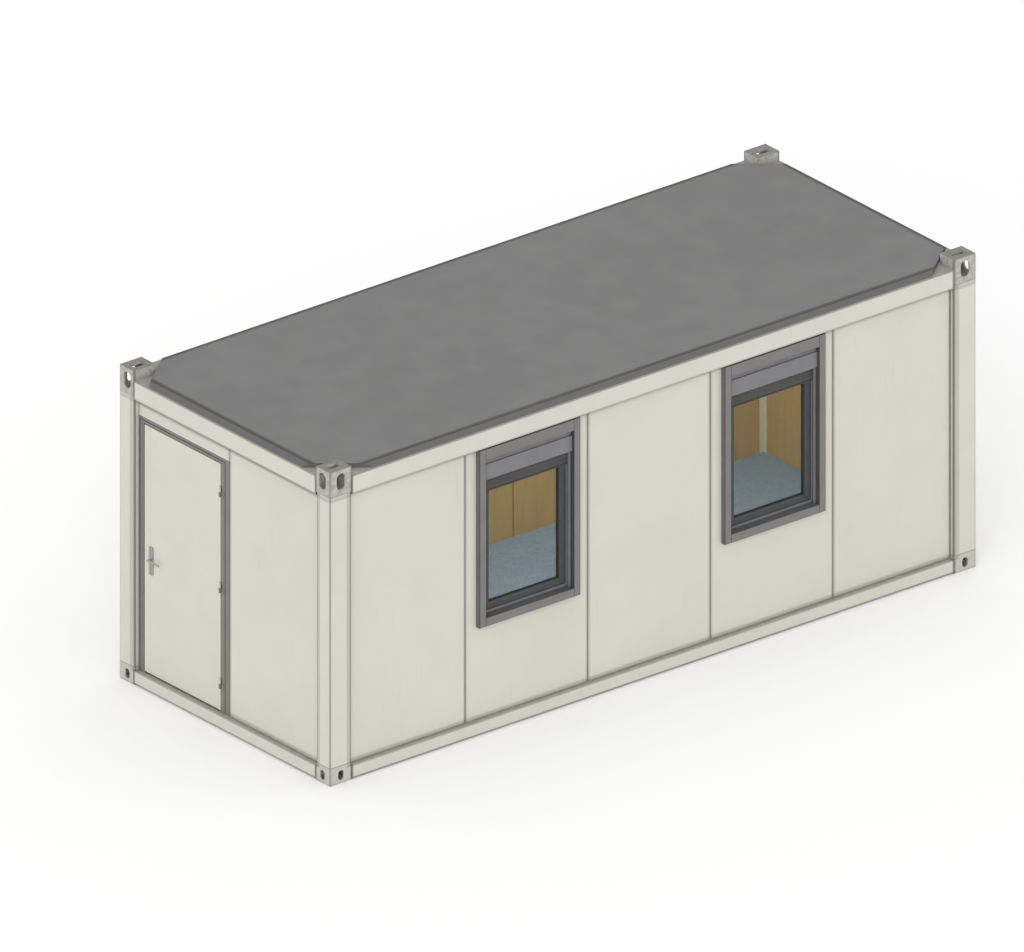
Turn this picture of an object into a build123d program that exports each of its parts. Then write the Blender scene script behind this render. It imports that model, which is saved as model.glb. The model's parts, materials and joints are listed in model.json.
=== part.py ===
from build123d import *
import math
import os

os.makedirs("parts", exist_ok=True)

# Site office container, 20-foot footprint. Millimetres, +Z up. The origin is on the ground under the middle.
# The window wall faces -Y and the door is in the -X end.

# Overall size
length = 6058.0
width = 2438.0
height = 2520.0

# Small clearances that parts share
fit = 0.3
running_clearance = 3.0
board_gap = 2.0

# Corner castings, made of welded plate
casting_length = 205.0
casting_width = 166.0
top_casting_height = 205.0
casting_wall = 12.0
casting_lock_plate = 20.0
lock_from_end = 102.5
lock_from_side = 89.5
lock_slot_length = 124.5
lock_slot_width = 63.5
top_side_slot_width = 79.0
top_side_slot_height = 130.0
top_side_slot_below_top = 95.0
bottom_side_slot_width = 54.0
bottom_side_slot_height = 78.0
bottom_side_slot_below_collar = 46.0
casting_edge_chamfer = 5.0
casting_rim_chamfer = 2.0

# Rolled steel frame
frame_sheet = 4.0
bend_radius = 8.0
rail_ground_gap = 12.0
floor_frame_top = 112.0
roof_rail_height = 150.0
rail_bottom_flange = 60.0
roof_rail_top_flange = 60.0
post_collar_height = 30.0
post_collar_wall = 10.0
post_bevel_width = 47.0
post_bevel_depth = 8.0

# Roof sheet
roof_below_castings = 40.0
roof_pan_height = 40.0
roof_sheet_thickness = 3.0
roof_flank_thickness = 4.5
roof_edge_inset = 1.0
roof_flank_inset = 50.0
roof_cut_angle = 39.07
roof_cut_clearance = 8.5

# Floor
under_sheet = 2.0
beam_count = 9
beam_flange = 45.0
beam_sheet = 3.0
deck_board = 22.0
floor_covering_thickness = 3.0
under_sheet_edge = 20.0

# Walls
wall_recess = 45.0
panel_core = 50.0
lining_board = 10.0
panel_count = 5
panel_pitch = 1150.0
panel_end_setback = 50.0
joint_gap = 1.0
joint_chamfer = 8.0
tongue_length = 12.0
tongue_width = 18.0
ceiling_board = 12.0
ceiling_overlap = 20.0
corner_trim_leg = 38.0
corner_trim_thickness = 3.0

# Windows with roller shutters
surround_width = 945.0
surround_height = 1427.0
surround_below_rail = 5.0
surround_side = 59.0
surround_sill = 65.0
surround_head = 90.0
surround_front = 2.0
surround_sleeve = 15.0
surround_overlap = 30.0
surround_round = 5.0
sill_slope = 12.0
shutter_box_height = 179.0
shutter_box_setback = 25.0
shutter_cover_height = 130.0
shutter_cover_step = 12.0
shutter_box_inside_proud = 25.0
shutter_box_round = 10.0
shutter_slot_depth = 16.0
curtain_thickness = 9.0
curtain_clearance = 1.0
curtain_side_clearance = 6.0
slat_height = 36.5
slat_count = 3
end_bar_height = 10.0
end_bar_chamfer = 2.0
casement_depth = 48.0
casement_face = 30.0
sash_face = 50.0
sash_setback = 6.0
sash_gap = 3.0
sash_lip_depth = 9.0
sash_lip_overlap = 9.0
sash_bevel = 8.0
pane = 4.0
pane_space = 16.0
pane_bite = 12.0
pane_seat = 18.0

# Door
leaf_width = 880.0
leaf_thickness = 40.0
leaf_floor_gap = 7.0
header_panel_height = 127.0
leaf_gap = 8.0
leaf_edge_round = 3.0
hinge_jamb = 97.0
lock_jamb = 130.2
jamb_chamfer = 4.0
frame_head = 48.0
stop_overlap = 17.0
stop_clearance = 6.0
frame_inside_proud = 6.0
threshold_height = 6.0
hinge_offset = 10.0
knuckle_radius = 8.5
knuckle_height = 40.0
knuckle_gap = 1.0
hinge_pin_radius = 5.0
hinge_pin_clearance = 0.5
hinge_flag = 34.0
hinge_flag_thickness = 3.0
hinge_end_distance = 220.0
handle_height = 1050.0
handle_backset = 81.0
plate_width = 45.0
plate_height = 224.0
plate_thickness = 8.0
plate_corner_round = 8.0
plate_below_handle = 12.0
spindle_radius = 8.0
spindle_clearance = 0.3
spindle_bore_clearance = 2.0
lever_projection = 43.0
lever_radius = 8.0
lever_reach = 125.0
lever_end_chamfer = 1.5

# Places worked out from the sizes above
half_length = length / 2
half_width = width / 2
wall_inside = wall_recess + panel_core + lining_board
core_middle = wall_recess + panel_core / 2
lining_middle = wall_recess + panel_core + lining_board / 2
top_casting_bottom = height - top_casting_height
roof_plane = height - roof_below_castings
roof_rail_top = roof_plane - roof_pan_height
roof_rail_bottom = roof_rail_top - roof_rail_height
floor_top = floor_frame_top + floor_covering_thickness
ceiling_bottom = roof_rail_bottom + frame_sheet
side_rail_half = half_length - casting_length
end_rail_half = half_width - casting_width


def two_step_mirror():
    mirror(about=Plane.YZ)
    mirror(about=Plane.XZ)


def post_path(sheet, depth):
    """Centre line of the rolled post at the front left corner."""
    mid = sheet / 2
    points = [
        (casting_length - mid, depth),
        (casting_length - mid, post_bevel_depth + mid),
        (casting_length - post_bevel_width, mid),
        (mid, mid),
        (mid, casting_width - post_bevel_width),
        (post_bevel_depth + mid, casting_width - mid),
        (depth, casting_width - mid),
    ]
    return [(x - half_length, y - half_width) for x, y in points]


def casting_slot(plane, slot_width, slot_height, depth):
    """Upright slot through one side wall of a casting."""
    with BuildSketch(plane) as slot:
        SlotOverall(slot_height, slot_width, rotation=90)
    extrude(slot.sketch, amount=-depth, mode=Mode.SUBTRACT)


lock_x = lock_from_end - half_length
lock_y = lock_from_side - half_width
casting_x = -half_length + casting_length / 2
casting_y = -half_width + casting_width / 2

# Top corner castings: a hollow block with a lock slot on top and an upright slot in both outer faces
with BuildPart() as top_corner_castings:
    with BuildSketch(Plane.XY.offset(top_casting_bottom)) as casting_outline:
        with Locations((casting_x, casting_y)):
            Rectangle(casting_length, casting_width)
        chamfer(casting_outline.vertices(), casting_edge_chamfer)
    extrude(amount=top_casting_height)
    chamfer(faces().sort_by(Axis.Z)[-1].edges(), casting_rim_chamfer)
    with BuildSketch(Plane.XY.offset(top_casting_bottom + casting_wall)):
        with Locations((casting_x, casting_y)):
            Rectangle(casting_length - 2 * casting_wall, casting_width - 2 * casting_wall)
    extrude(amount=top_casting_height - casting_wall - casting_lock_plate, mode=Mode.SUBTRACT)
    with BuildSketch(Plane.XY.offset(height)):
        with Locations((lock_x, lock_y)):
            SlotOverall(lock_slot_length, lock_slot_width)
    extrude(amount=-casting_lock_plate, mode=Mode.SUBTRACT)
    slot_z = height - top_side_slot_below_top
    front_plane = Plane((lock_x, -half_width, slot_z), x_dir=(1, 0, 0), z_dir=(0, -1, 0))
    end_plane = Plane((-half_length, lock_y, slot_z), x_dir=(0, -1, 0), z_dir=(-1, 0, 0))
    casting_slot(front_plane, top_side_slot_width, top_side_slot_height, casting_wall)
    casting_slot(end_plane, top_side_slot_width, top_side_slot_height, casting_wall)
    two_step_mirror()

# Bottom corner castings: the same block upside down, with a collar that the post is welded to
with BuildPart() as bottom_corner_castings:
    with BuildSketch(Plane.XY) as casting_outline:
        with Locations((casting_x, casting_y)):
            Rectangle(casting_length, casting_width)
        chamfer(casting_outline.vertices(), casting_edge_chamfer)
    extrude(amount=floor_frame_top)
    chamfer(faces().sort_by(Axis.Z)[0].edges(), casting_rim_chamfer)
    with BuildSketch(Plane.XY.offset(casting_lock_plate)):
        with Locations((casting_x, casting_y)):
            Rectangle(casting_length - 2 * casting_wall, casting_width - 2 * casting_wall)
    extrude(amount=floor_frame_top - casting_wall - casting_lock_plate, mode=Mode.SUBTRACT)
    with BuildSketch(Plane.XY):
        with Locations((lock_x, lock_y)):
            SlotOverall(lock_slot_length, lock_slot_width)
    extrude(amount=casting_lock_plate, mode=Mode.SUBTRACT)
    slot_z = floor_frame_top - bottom_side_slot_below_collar
    front_plane = Plane((lock_x, -half_width, slot_z), x_dir=(1, 0, 0), z_dir=(0, -1, 0))
    end_plane = Plane((-half_length, lock_y, slot_z), x_dir=(0, -1, 0), z_dir=(-1, 0, 0))
    casting_slot(front_plane, bottom_side_slot_width, bottom_side_slot_height, casting_wall)
    casting_slot(end_plane, bottom_side_slot_width, bottom_side_slot_height, casting_wall)
    with BuildSketch(Plane.XY.offset(floor_frame_top)) as collar:
        with BuildLine():
            Polyline(*post_path(post_collar_wall, wall_recess))
        trace(line_width=post_collar_wall)
        outer_corner = (-half_length, -half_width, floor_frame_top)
        chamfer(collar.vertices().sort_by_distance(outer_corner)[0], casting_edge_chamfer)
    extrude(amount=post_collar_height)
    two_step_mirror()

# Corner posts: rolled open profile with a flat face, a shallow bevel and a return to the wall on each side
with BuildPart() as corner_posts:
    with BuildSketch(Plane.XY.offset(floor_frame_top + post_collar_height)):
        with BuildLine():
            FilletPolyline(*post_path(frame_sheet, wall_recess), radius=bend_radius)
        trace(line_width=frame_sheet)
    extrude(amount=top_casting_bottom - floor_frame_top - post_collar_height)
    two_step_mirror()


def channel_points(bottom, top, bottom_flange, top_flange):
    """Centre line of a channel whose web is the outer face, as depth from that face and height."""
    mid = frame_sheet / 2
    return [(bottom_flange, bottom + mid), (mid, bottom + mid), (mid, top - mid), (top_flange, top - mid)]


def side_rails(points, half_run):
    """Two channels along the long sides, between the castings."""
    with BuildSketch(Plane.YZ) as section:
        with BuildLine():
            FilletPolyline(*[(depth - half_width, z) for depth, z in points], radius=bend_radius)
        trace(line_width=frame_sheet)
    extrude(section.sketch, amount=half_run, both=True)
    mirror(about=Plane.XZ)


def end_rails(points, half_run):
    """Two channels along the short ends, between the castings."""
    with BuildSketch(Plane.XZ) as section:
        with BuildLine():
            FilletPolyline(*[(depth - half_length, z) for depth, z in points], radius=bend_radius)
        trace(line_width=frame_sheet)
    extrude(section.sketch, amount=half_run, both=True)
    mirror(about=Plane.YZ)


floor_rail = channel_points(rail_ground_gap, floor_frame_top, rail_bottom_flange, wall_inside)
roof_rail = channel_points(roof_rail_bottom, roof_rail_top, wall_inside, roof_rail_top_flange)

with BuildPart() as floor_side_rails:
    side_rails(floor_rail, side_rail_half)

with BuildPart() as floor_end_rails:
    end_rails(floor_rail, end_rail_half)

with BuildPart() as roof_side_rails:
    side_rails(roof_rail, side_rail_half)

with BuildPart() as roof_end_rails:
    end_rails(roof_rail, end_rail_half)


cut_slope = math.tan(math.radians(roof_cut_angle))
roof_cut_width = casting_width + roof_cut_clearance + casting_length * cut_slope


def roof_outline(inset, cut_shift):
    """Eight corners of the raised roof, with its corners cut off past the castings."""
    shift_y = cut_shift * math.hypot(1, cut_slope)
    cut_y = roof_cut_width + shift_y - inset * cut_slope
    cut_x = (roof_cut_width + shift_y - inset) / cut_slope
    x_edge = half_length - inset
    y_edge = half_width - inset
    x_cut = half_length - cut_x
    y_cut = half_width - cut_y
    corner = [(x_edge, y_cut), (x_cut, y_edge)]
    left = [(-x, y) for x, y in reversed(corner)]
    upper = corner + left
    lower = [(-x, -y) for x, y in upper]
    return upper + lower


def roof_block(inset_change, cut_shift, z_low, z_high):
    """Raised block of the roof: sloping flanks on four sides, upright where the corners are cut."""
    with BuildSketch(Plane.XY.offset(z_low)) as low:
        with BuildLine():
            Polyline(*roof_outline(roof_edge_inset + inset_change, cut_shift), close=True)
        make_face()
    with BuildSketch(Plane.XY.offset(z_high)) as high:
        with BuildLine():
            Polyline(*roof_outline(roof_flank_inset + inset_change, cut_shift), close=True)
        make_face()
    return loft([low.sketch, high.sketch], ruled=True, mode=Mode.PRIVATE)


def plate_reach(along):
    """How far a corner plate reaches in from the side, at a distance from the end."""
    return roof_cut_width - along * cut_slope - fit * math.hypot(1, cut_slope)


side_plate_start = casting_length + fit
side_plate_end = plate_reach(0) / cut_slope
side_plate = [(side_plate_start, 0), (side_plate_end, 0), (side_plate_start, plate_reach(side_plate_start))]
end_plate_start = casting_width + fit
end_plate = [
    (0, end_plate_start),
    (casting_length, end_plate_start),
    (casting_length, plate_reach(casting_length)),
    (0, plate_reach(0)),
]

# Roof sheet: a flange on the rails, a raised pan with sloping flanks, and flat plates beside each casting
flange_top = roof_rail_top + roof_sheet_thickness
with BuildPart() as roof_sheet:
    for plate_outline in (side_plate, end_plate):
        with BuildSketch(Plane.XY.offset(roof_rail_top)):
            with BuildLine():
                Polyline(*[(x - half_length, y - half_width) for x, y in plate_outline], close=True)
            make_face()
        extrude(amount=roof_sheet_thickness)
    two_step_mirror()
    with BuildSketch(Plane.XY.offset(roof_rail_top)):
        with BuildLine():
            Polyline(*roof_outline(0, 0), close=True)
        make_face()
    extrude(amount=roof_sheet_thickness)
    add(roof_block(0, 0, flange_top, roof_plane))
    pan_underside = roof_plane - roof_sheet_thickness
    add(
        roof_block(roof_flank_thickness, roof_sheet_thickness, flange_top, pan_underside),
        mode=Mode.SUBTRACT,
    )
    with BuildSketch(Plane.XY.offset(roof_rail_top)):
        with BuildLine():
            Polyline(*roof_outline(roof_edge_inset + roof_flank_thickness, roof_sheet_thickness), close=True)
        make_face()
    extrude(amount=roof_sheet_thickness, mode=Mode.SUBTRACT)

# Floor: a thin sheet underneath, cross beams on it, a deck board and its smooth covering
under_sheet_bottom = rail_ground_gap + frame_sheet
beam_bottom = under_sheet_bottom + under_sheet
deck_bottom = floor_frame_top - deck_board

end_sheet_run = casting_length - under_sheet_edge - board_gap
end_sheet_middle = half_length - under_sheet_edge - end_sheet_run / 2
with BuildPart() as underfloor_sheet:
    with BuildSketch(Plane.XY.offset(under_sheet_bottom)):
        Rectangle(length - 2 * casting_length, width - 2 * under_sheet_edge)
        with Locations((-end_sheet_middle, 0), (end_sheet_middle, 0)):
            Rectangle(end_sheet_run, width - 2 * casting_width - 2 * fit)
    extrude(amount=under_sheet)

beam_run = half_width - frame_sheet - bend_radius
beam_span = length - 2 * casting_length - 4 * beam_flange
beam_pitch = beam_span / (beam_count - 1)
beam_half = beam_flange / 2
beam_path = [
    (beam_half, beam_bottom + beam_sheet / 2),
    (-beam_half, beam_bottom + beam_sheet / 2),
    (-beam_half, deck_bottom - beam_sheet / 2),
    (beam_half, deck_bottom - beam_sheet / 2),
]
with BuildPart() as floor_beams:
    for beam_number in range(beam_count):
        beam_x = beam_pitch * (beam_number - (beam_count - 1) / 2)
        with BuildSketch(Plane.XZ):
            with BuildLine():
                Polyline(*[(x + beam_x, z) for x, z in beam_path])
            trace(line_width=beam_sheet)
        extrude(amount=beam_run, both=True)

deck_length = length - 2 * wall_inside - 2 * fit
deck_width = width - 2 * wall_inside - 2 * fit
with BuildPart() as floor_deck:
    with BuildSketch(Plane.XY.offset(deck_bottom)):
        Rectangle(deck_length, deck_width)
        with GridLocations(length - casting_length, width - casting_width, 2, 2):
            Rectangle(casting_length + 2 * fit, casting_width + 2 * fit, mode=Mode.SUBTRACT)
    extrude(amount=deck_board)

with BuildPart() as floor_covering:
    with BuildSketch(Plane.XY.offset(floor_frame_top)):
        Rectangle(deck_length, deck_width)
    extrude(amount=floor_covering_thickness)

# Ceiling board, carried by the inner flanges of the roof rails
with BuildPart() as ceiling:
    with BuildSketch(Plane.XY.offset(ceiling_bottom)):
        Rectangle(deck_length + 2 * ceiling_overlap, deck_width + 2 * ceiling_overlap)
    extrude(amount=ceiling_board)

# Walls: steel-faced panels joined by tongue and groove, and lining boards on their inner faces.
# On the long side at -Y every second panel holds a window.
wall_height = roof_rail_bottom - floor_frame_top
window_panel_numbers = range(2, panel_count, 2)
window_middle_x = {n: (n - (panel_count + 1) / 2) * panel_pitch for n in window_panel_numbers}
surround_top = roof_rail_bottom - surround_below_rail
surround_bottom = surround_top - surround_height
reveal_width = surround_width - 2 * surround_side
reveal_bottom = surround_bottom + surround_sill
reveal_top = surround_top - surround_head
cutout_width = surround_width - 2 * surround_overlap
cutout_bottom = surround_bottom + surround_overlap
cutout_top = surround_top - surround_overlap


def panel_edges(number):
    """Both ends of a long-side panel. The outer two run on behind the posts."""
    middle = (number - (panel_count + 1) / 2) * panel_pitch
    low = middle - panel_pitch / 2 + joint_gap / 2
    high = middle + panel_pitch / 2 - joint_gap / 2
    if number == 1:
        low = -half_length + panel_end_setback
    if number == panel_count:
        high = half_length - panel_end_setback
    return low, high


def wall_panel(low, high, tongue, groove):
    """Upright panel of the wall at -Y, with chamfered outer edges and a tongue, a groove or both."""
    middle_y = core_middle - half_width
    with BuildSketch(Plane.XY.offset(floor_frame_top)) as outline:
        with Locations(((low + high) / 2, middle_y)):
            Rectangle(high - low, panel_core)
        chamfer(outline.vertices().group_by(Axis.Y)[0], joint_chamfer)
        if tongue:
            with Locations((high, middle_y)):
                Rectangle(2 * tongue_length, tongue_width)
        if groove:
            with Locations((low, middle_y)):
                slot_length = 2 * (tongue_length + joint_gap)
                Rectangle(slot_length, tongue_width + 2 * joint_gap, mode=Mode.SUBTRACT)
    extrude(outline.sketch, amount=wall_height)


def window_cutout(middle_x, low_depth, high_depth):
    """Window hole through the wall at -Y, between two depths."""
    middle_y = (low_depth + high_depth) / 2 - half_width
    with BuildSketch(Plane.XY.offset(cutout_bottom)) as hole:
        with Locations((middle_x, middle_y)):
            Rectangle(cutout_width, high_depth - low_depth)
    extrude(hole.sketch, amount=cutout_top - cutout_bottom, mode=Mode.SUBTRACT)


front_panels = []
for panel_number in range(1, panel_count + 1):
    low_x, high_x = panel_edges(panel_number)
    with BuildPart() as front_panel:
        wall_panel(low_x, high_x, panel_number < panel_count, panel_number > 1)
        if panel_number in window_panel_numbers:
            window_cutout(window_middle_x[panel_number], wall_recess - fit, wall_inside)
    front_panels.append(front_panel.part)

with BuildPart() as back_row:
    for panel_number in range(1, panel_count + 1):
        low_x, high_x = panel_edges(panel_number)
        wall_panel(low_x, high_x, panel_number < panel_count, panel_number > 1)
back_panels = mirror(back_row.part, about=Plane.XZ)


def end_panel(low_y, high_y, low_z, high_z, tongue, groove):
    """One upright panel of the wall at -X."""
    middle_x = core_middle - half_length
    with BuildSketch(Plane.XY.offset(low_z)) as outline:
        with Locations((middle_x, (low_y + high_y) / 2)):
            Rectangle(panel_core, high_y - low_y)
        chamfer(outline.vertices().group_by(Axis.X)[0], joint_chamfer)
        if tongue:
            with Locations((middle_x, high_y)):
                Rectangle(tongue_width, 2 * tongue_length)
        if groove:
            with Locations((middle_x, low_y)):
                slot_length = 2 * (tongue_length + joint_gap)
                Rectangle(tongue_width + 2 * joint_gap, slot_length, mode=Mode.SUBTRACT)
    extrude(outline.sketch, amount=high_z - low_z)


end_core_limit = half_width - wall_recess - panel_core - fit
end_lining_limit = half_width - wall_inside - fit

with BuildPart() as far_end_row:
    end_panel(-end_core_limit, -joint_gap / 2, floor_frame_top, roof_rail_bottom, True, False)
    end_panel(joint_gap / 2, end_core_limit, floor_frame_top, roof_rail_bottom, False, True)
far_end_panels = mirror(far_end_row.part, about=Plane.YZ)

# The door frame reaches to the back wall, a panel fills the rest of the end, and a narrow one closes the top
header_bottom = roof_rail_bottom - header_panel_height
frame_top = header_bottom - joint_gap
frame_high_y = end_core_limit
leaf_high_y = frame_high_y - lock_jamb - leaf_gap
leaf_low_y = leaf_high_y - leaf_width
frame_low_y = leaf_low_y - leaf_gap - hinge_jamb
door_joint_y = frame_low_y - joint_gap / 2
with BuildPart() as door_end_panel:
    end_panel(-end_core_limit, door_joint_y - joint_gap / 2, floor_frame_top, roof_rail_bottom, False, False)

with BuildPart() as door_header_panel:
    end_panel(frame_low_y, end_core_limit, header_bottom, roof_rail_bottom, False, False)


def lining_row(bounds, low_z, high_z):
    """Lining boards on the wall at -Y, with a narrow gap between them."""
    for low, high in bounds:
        with BuildSketch(Plane.XY.offset(low_z)) as board:
            with Locations(((low + high) / 2, lining_middle - half_width)):
                Rectangle(high - low, lining_board)
        extrude(board.sketch, amount=high_z - low_z)


def long_lining_bounds():
    end = half_length - wall_recess - panel_core - fit
    bounds = []
    for number in range(1, panel_count + 1):
        low, high = panel_edges(number)
        bounds.append((max(low, -end) + board_gap / 2, min(high, end) - board_gap / 2))
    return bounds


with BuildPart() as front_lining:
    lining_row(long_lining_bounds(), floor_frame_top, roof_rail_bottom)
    for middle_x in window_middle_x.values():
        window_cutout(middle_x, wall_inside - lining_board, wall_inside + fit)

with BuildPart() as back_lining_row:
    lining_row(long_lining_bounds(), floor_frame_top, roof_rail_bottom)
back_lining = mirror(back_lining_row.part, about=Plane.XZ)


def end_lining_board(low_y, high_y, low_z):
    """One lining board on the wall at -X."""
    with BuildSketch(Plane.XY.offset(low_z)) as board:
        with Locations((lining_middle - half_length, (low_y + high_y) / 2)):
            Rectangle(lining_board, high_y - low_y)
    extrude(board.sketch, amount=roof_rail_bottom - low_z)


with BuildPart() as far_end_lining_row:
    end_lining_board(-end_lining_limit, -board_gap / 2, floor_frame_top)
    end_lining_board(board_gap / 2, end_lining_limit, floor_frame_top)
far_end_lining = mirror(far_end_lining_row.part, about=Plane.YZ)

with BuildPart() as door_end_lining:
    end_lining_board(-end_lining_limit, door_joint_y - board_gap / 2, floor_frame_top)
    end_lining_board(door_joint_y + board_gap / 2, end_lining_limit, header_bottom)

# Angle trims that cover the joints in the four corners of the room
with BuildPart() as inner_corner_trims:
    trim_x = wall_inside + fit - half_length
    trim_y = wall_inside + fit - half_width
    half_trim = corner_trim_thickness / 2
    with BuildSketch(Plane.XY.offset(floor_top)):
        with BuildLine():
            Polyline(
                (trim_x + corner_trim_leg, trim_y + half_trim),
                (trim_x + half_trim, trim_y + half_trim),
                (trim_x + half_trim, trim_y + corner_trim_leg),
            )
        trace(line_width=corner_trim_thickness)
    extrude(amount=ceiling_bottom - floor_top)
    two_step_mirror()


# Windows: surround, shutter box, curtain, casement, sash and panes
def front_plane_at(depth, middle_x):
    """Plane parallel to the window wall at a depth behind the outer face, looking outwards."""
    return Plane((middle_x, depth - half_width, 0), x_dir=(1, 0, 0), z_dir=(0, -1, 0))


def front_rectangle(low_z, high_z, wide):
    with Locations((0, (low_z + high_z) / 2)):
        Rectangle(wide, high_z - low_z)


def ring_sketch(plane, outer, inner):
    """Rectangular ring. Each of outer and inner is width, lowest and highest point."""
    with BuildSketch(plane) as ring:
        front_rectangle(outer[1], outer[2], outer[0])
        with Locations((0, (inner[1] + inner[2]) / 2)):
            Rectangle(inner[0], inner[2] - inner[1], mode=Mode.SUBTRACT)
    return ring.sketch


shutter_bottom = reveal_top - shutter_box_height
sleeve_back = wall_recess + surround_sleeve
shutter_box_front = surround_front + shutter_box_setback
shutter_box_inside = wall_inside + shutter_box_inside_proud
curtain_front = sleeve_back - curtain_clearance - curtain_thickness
casement_outer = (cutout_width - 2 * fit, cutout_bottom + fit, shutter_bottom - fit)
casement_inner = (
    reveal_width - 2 * casement_face,
    reveal_bottom + casement_face,
    shutter_bottom - casement_face,
)
sash_outer = (casement_inner[0] - 2 * sash_gap, casement_inner[1] + sash_gap, casement_inner[2] - sash_gap)
sash_inner = (sash_outer[0] - 2 * sash_face, sash_outer[1] + sash_face, sash_outer[2] - sash_face)
casement_front = sleeve_back + fit
sash_front = casement_front + sash_setback
sash_lip_front = casement_front + casement_depth + fit
sash_back = sash_lip_front + sash_lip_depth
sash_lip = [casement_inner[0] + 2 * sash_lip_overlap]
sash_lip += [casement_inner[1] - sash_lip_overlap, casement_inner[2] + sash_lip_overlap]


def build_surround(middle_x):
    """Folded metal surround: a proud flange, a sleeve into the wall and a sloping sill."""
    outer = (surround_width, surround_bottom, surround_top)
    inner = (reveal_width, reveal_bottom, reveal_top)
    sleeve = (cutout_width - 2 * fit, cutout_bottom + fit, cutout_top - fit)
    with BuildPart() as surround:
        flange = ring_sketch(front_plane_at(wall_recess, middle_x), outer, inner)
        extrude(flange, amount=wall_recess - surround_front)
        fillet(surround.faces().sort_by(Axis.Y)[0].outer_wire().edges(), surround_round)
        extrude(ring_sketch(front_plane_at(sleeve_back, middle_x), sleeve, inner), amount=surround_sleeve)
        with BuildSketch(Plane.YZ.offset(middle_x)):
            with BuildLine():
                Polyline(
                    (surround_front + surround_round - half_width, reveal_bottom),
                    (sleeve_back - half_width, reveal_bottom),
                    (sleeve_back - half_width, reveal_bottom + sill_slope),
                    close=True,
                )
            make_face()
        extrude(amount=reveal_width / 2, both=True)
    return surround.part


def build_shutter_box(middle_x):
    """Closed box for the rolled curtain: a rounded cover, and a body that fills the wall behind it."""
    box_width = reveal_width - 2 * fit
    cover_top = shutter_bottom + shutter_cover_height
    with BuildPart() as box:
        with BuildSketch(Plane.YZ.offset(middle_x)) as section:
            with BuildLine():
                Polyline(
                    (shutter_box_front - half_width, shutter_bottom),
                    (shutter_box_inside - half_width, shutter_bottom),
                    (shutter_box_inside - half_width, reveal_top - fit),
                    (shutter_box_front + shutter_cover_step - half_width, reveal_top - fit),
                    (shutter_box_front + shutter_cover_step - half_width, cover_top),
                    (shutter_box_front - half_width, cover_top),
                    close=True,
                )
            make_face()
            fillet(section.vertices().group_by(Axis.Y)[0], shutter_box_round)
        extrude(amount=box_width / 2, both=True)
        with BuildSketch(front_plane_at(shutter_box_inside, middle_x)):
            front_rectangle(shutter_bottom, cutout_top - fit, cutout_width - 2 * fit)
        extrude(amount=shutter_box_inside - sleeve_back - fit)
        slot_back = curtain_front + curtain_thickness + running_clearance
        slot_front = curtain_front - running_clearance
        slot_width = reveal_width - 2 * (curtain_side_clearance - running_clearance)
        with BuildSketch(Plane.XY.offset(shutter_bottom)):
            with Locations((middle_x, (slot_front + slot_back) / 2 - half_width)):
                Rectangle(slot_width, slot_back - slot_front)
        extrude(amount=shutter_slot_depth, mode=Mode.SUBTRACT)
    return box.part


def build_curtain(middle_x):
    """The lowest slats of the raised curtain and its end bar, hanging in the slot."""
    slat_width = reveal_width - 2 * curtain_side_clearance
    curtain_top = shutter_bottom + shutter_slot_depth
    half_slat = curtain_thickness / 2
    with BuildPart() as curtain:
        for number in range(slat_count):
            top = curtain_top - number * slat_height
            low = top - slat_height
            with BuildSketch(Plane.YZ.offset(middle_x)):
                with BuildLine():
                    back = curtain_front + curtain_thickness - half_width
                    seat = curtain_front + half_slat - half_width
                    line_up = Line((back, low), (back, top))
                    line_top = Line(line_up @ 1, (seat, top))
                    bulge = ThreePointArc(line_top @ 1, (seat - half_slat, (low + top) / 2), (seat, low))
                    Line(bulge @ 1, line_up @ 0)
                make_face()
            extrude(amount=slat_width / 2, both=True)
        with BuildSketch(Plane.YZ.offset(middle_x)) as bar:
            bar_top = curtain_top - slat_count * slat_height
            with Locations((curtain_front + half_slat - half_width, bar_top - end_bar_height / 2)):
                Rectangle(curtain_thickness, end_bar_height)
            chamfer(bar.vertices().group_by(Axis.Y)[0], end_bar_chamfer)
        extrude(amount=slat_width / 2, both=True)
    return curtain.part


def build_casement(middle_x):
    """Fixed window frame, rebated for the sash."""
    with BuildPart() as casement:
        back_plane = front_plane_at(casement_front + casement_depth, middle_x)
        extrude(ring_sketch(back_plane, casement_outer, casement_inner), amount=casement_depth)
        chamfer(casement.faces().sort_by(Axis.Y)[0].inner_wires()[0].edges(), sash_gap)
    return casement.part


def build_sash(middle_x):
    """Sash with bevelled edges, a groove that holds the panes and a lip that laps the casement."""
    groove = (sash_inner[0] + 2 * pane_bite, sash_inner[1] - pane_bite, sash_inner[2] + pane_bite)
    groove_depth = 2 * pane + pane_space
    with BuildPart() as sash:
        back_plane = front_plane_at(sash_back, middle_x)
        extrude(ring_sketch(back_plane, sash_outer, sash_inner), amount=sash_back - sash_front)
        chamfer(sash.faces().sort_by(Axis.Y)[0].inner_wires()[0].edges(), sash_bevel)
        fillet(sash.faces().sort_by(Axis.Y)[0].outer_wire().edges(), sash_gap)
        extrude(ring_sketch(back_plane, sash_lip, sash_inner), amount=sash_lip_depth)
        chamfer(sash.faces().sort_by(Axis.Y)[-1].edges(), sash_gap)
        groove_plane = front_plane_at(sash_front + pane_seat + groove_depth, middle_x)
        extrude(ring_sketch(groove_plane, groove, sash_inner), amount=groove_depth, mode=Mode.SUBTRACT)
    return sash.part


def build_glass(middle_x):
    """Two panes, each a little smaller than the groove that holds it."""
    bite = pane_bite - fit
    wide = sash_inner[0] + 2 * bite
    with BuildPart() as glass:
        for step in (fit, pane + pane_space - fit):
            with BuildSketch(front_plane_at(sash_front + pane_seat + step + pane, middle_x)):
                front_rectangle(sash_inner[1] - bite, sash_inner[2] + bite, wide)
            extrude(amount=pane)
    return glass.part


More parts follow.
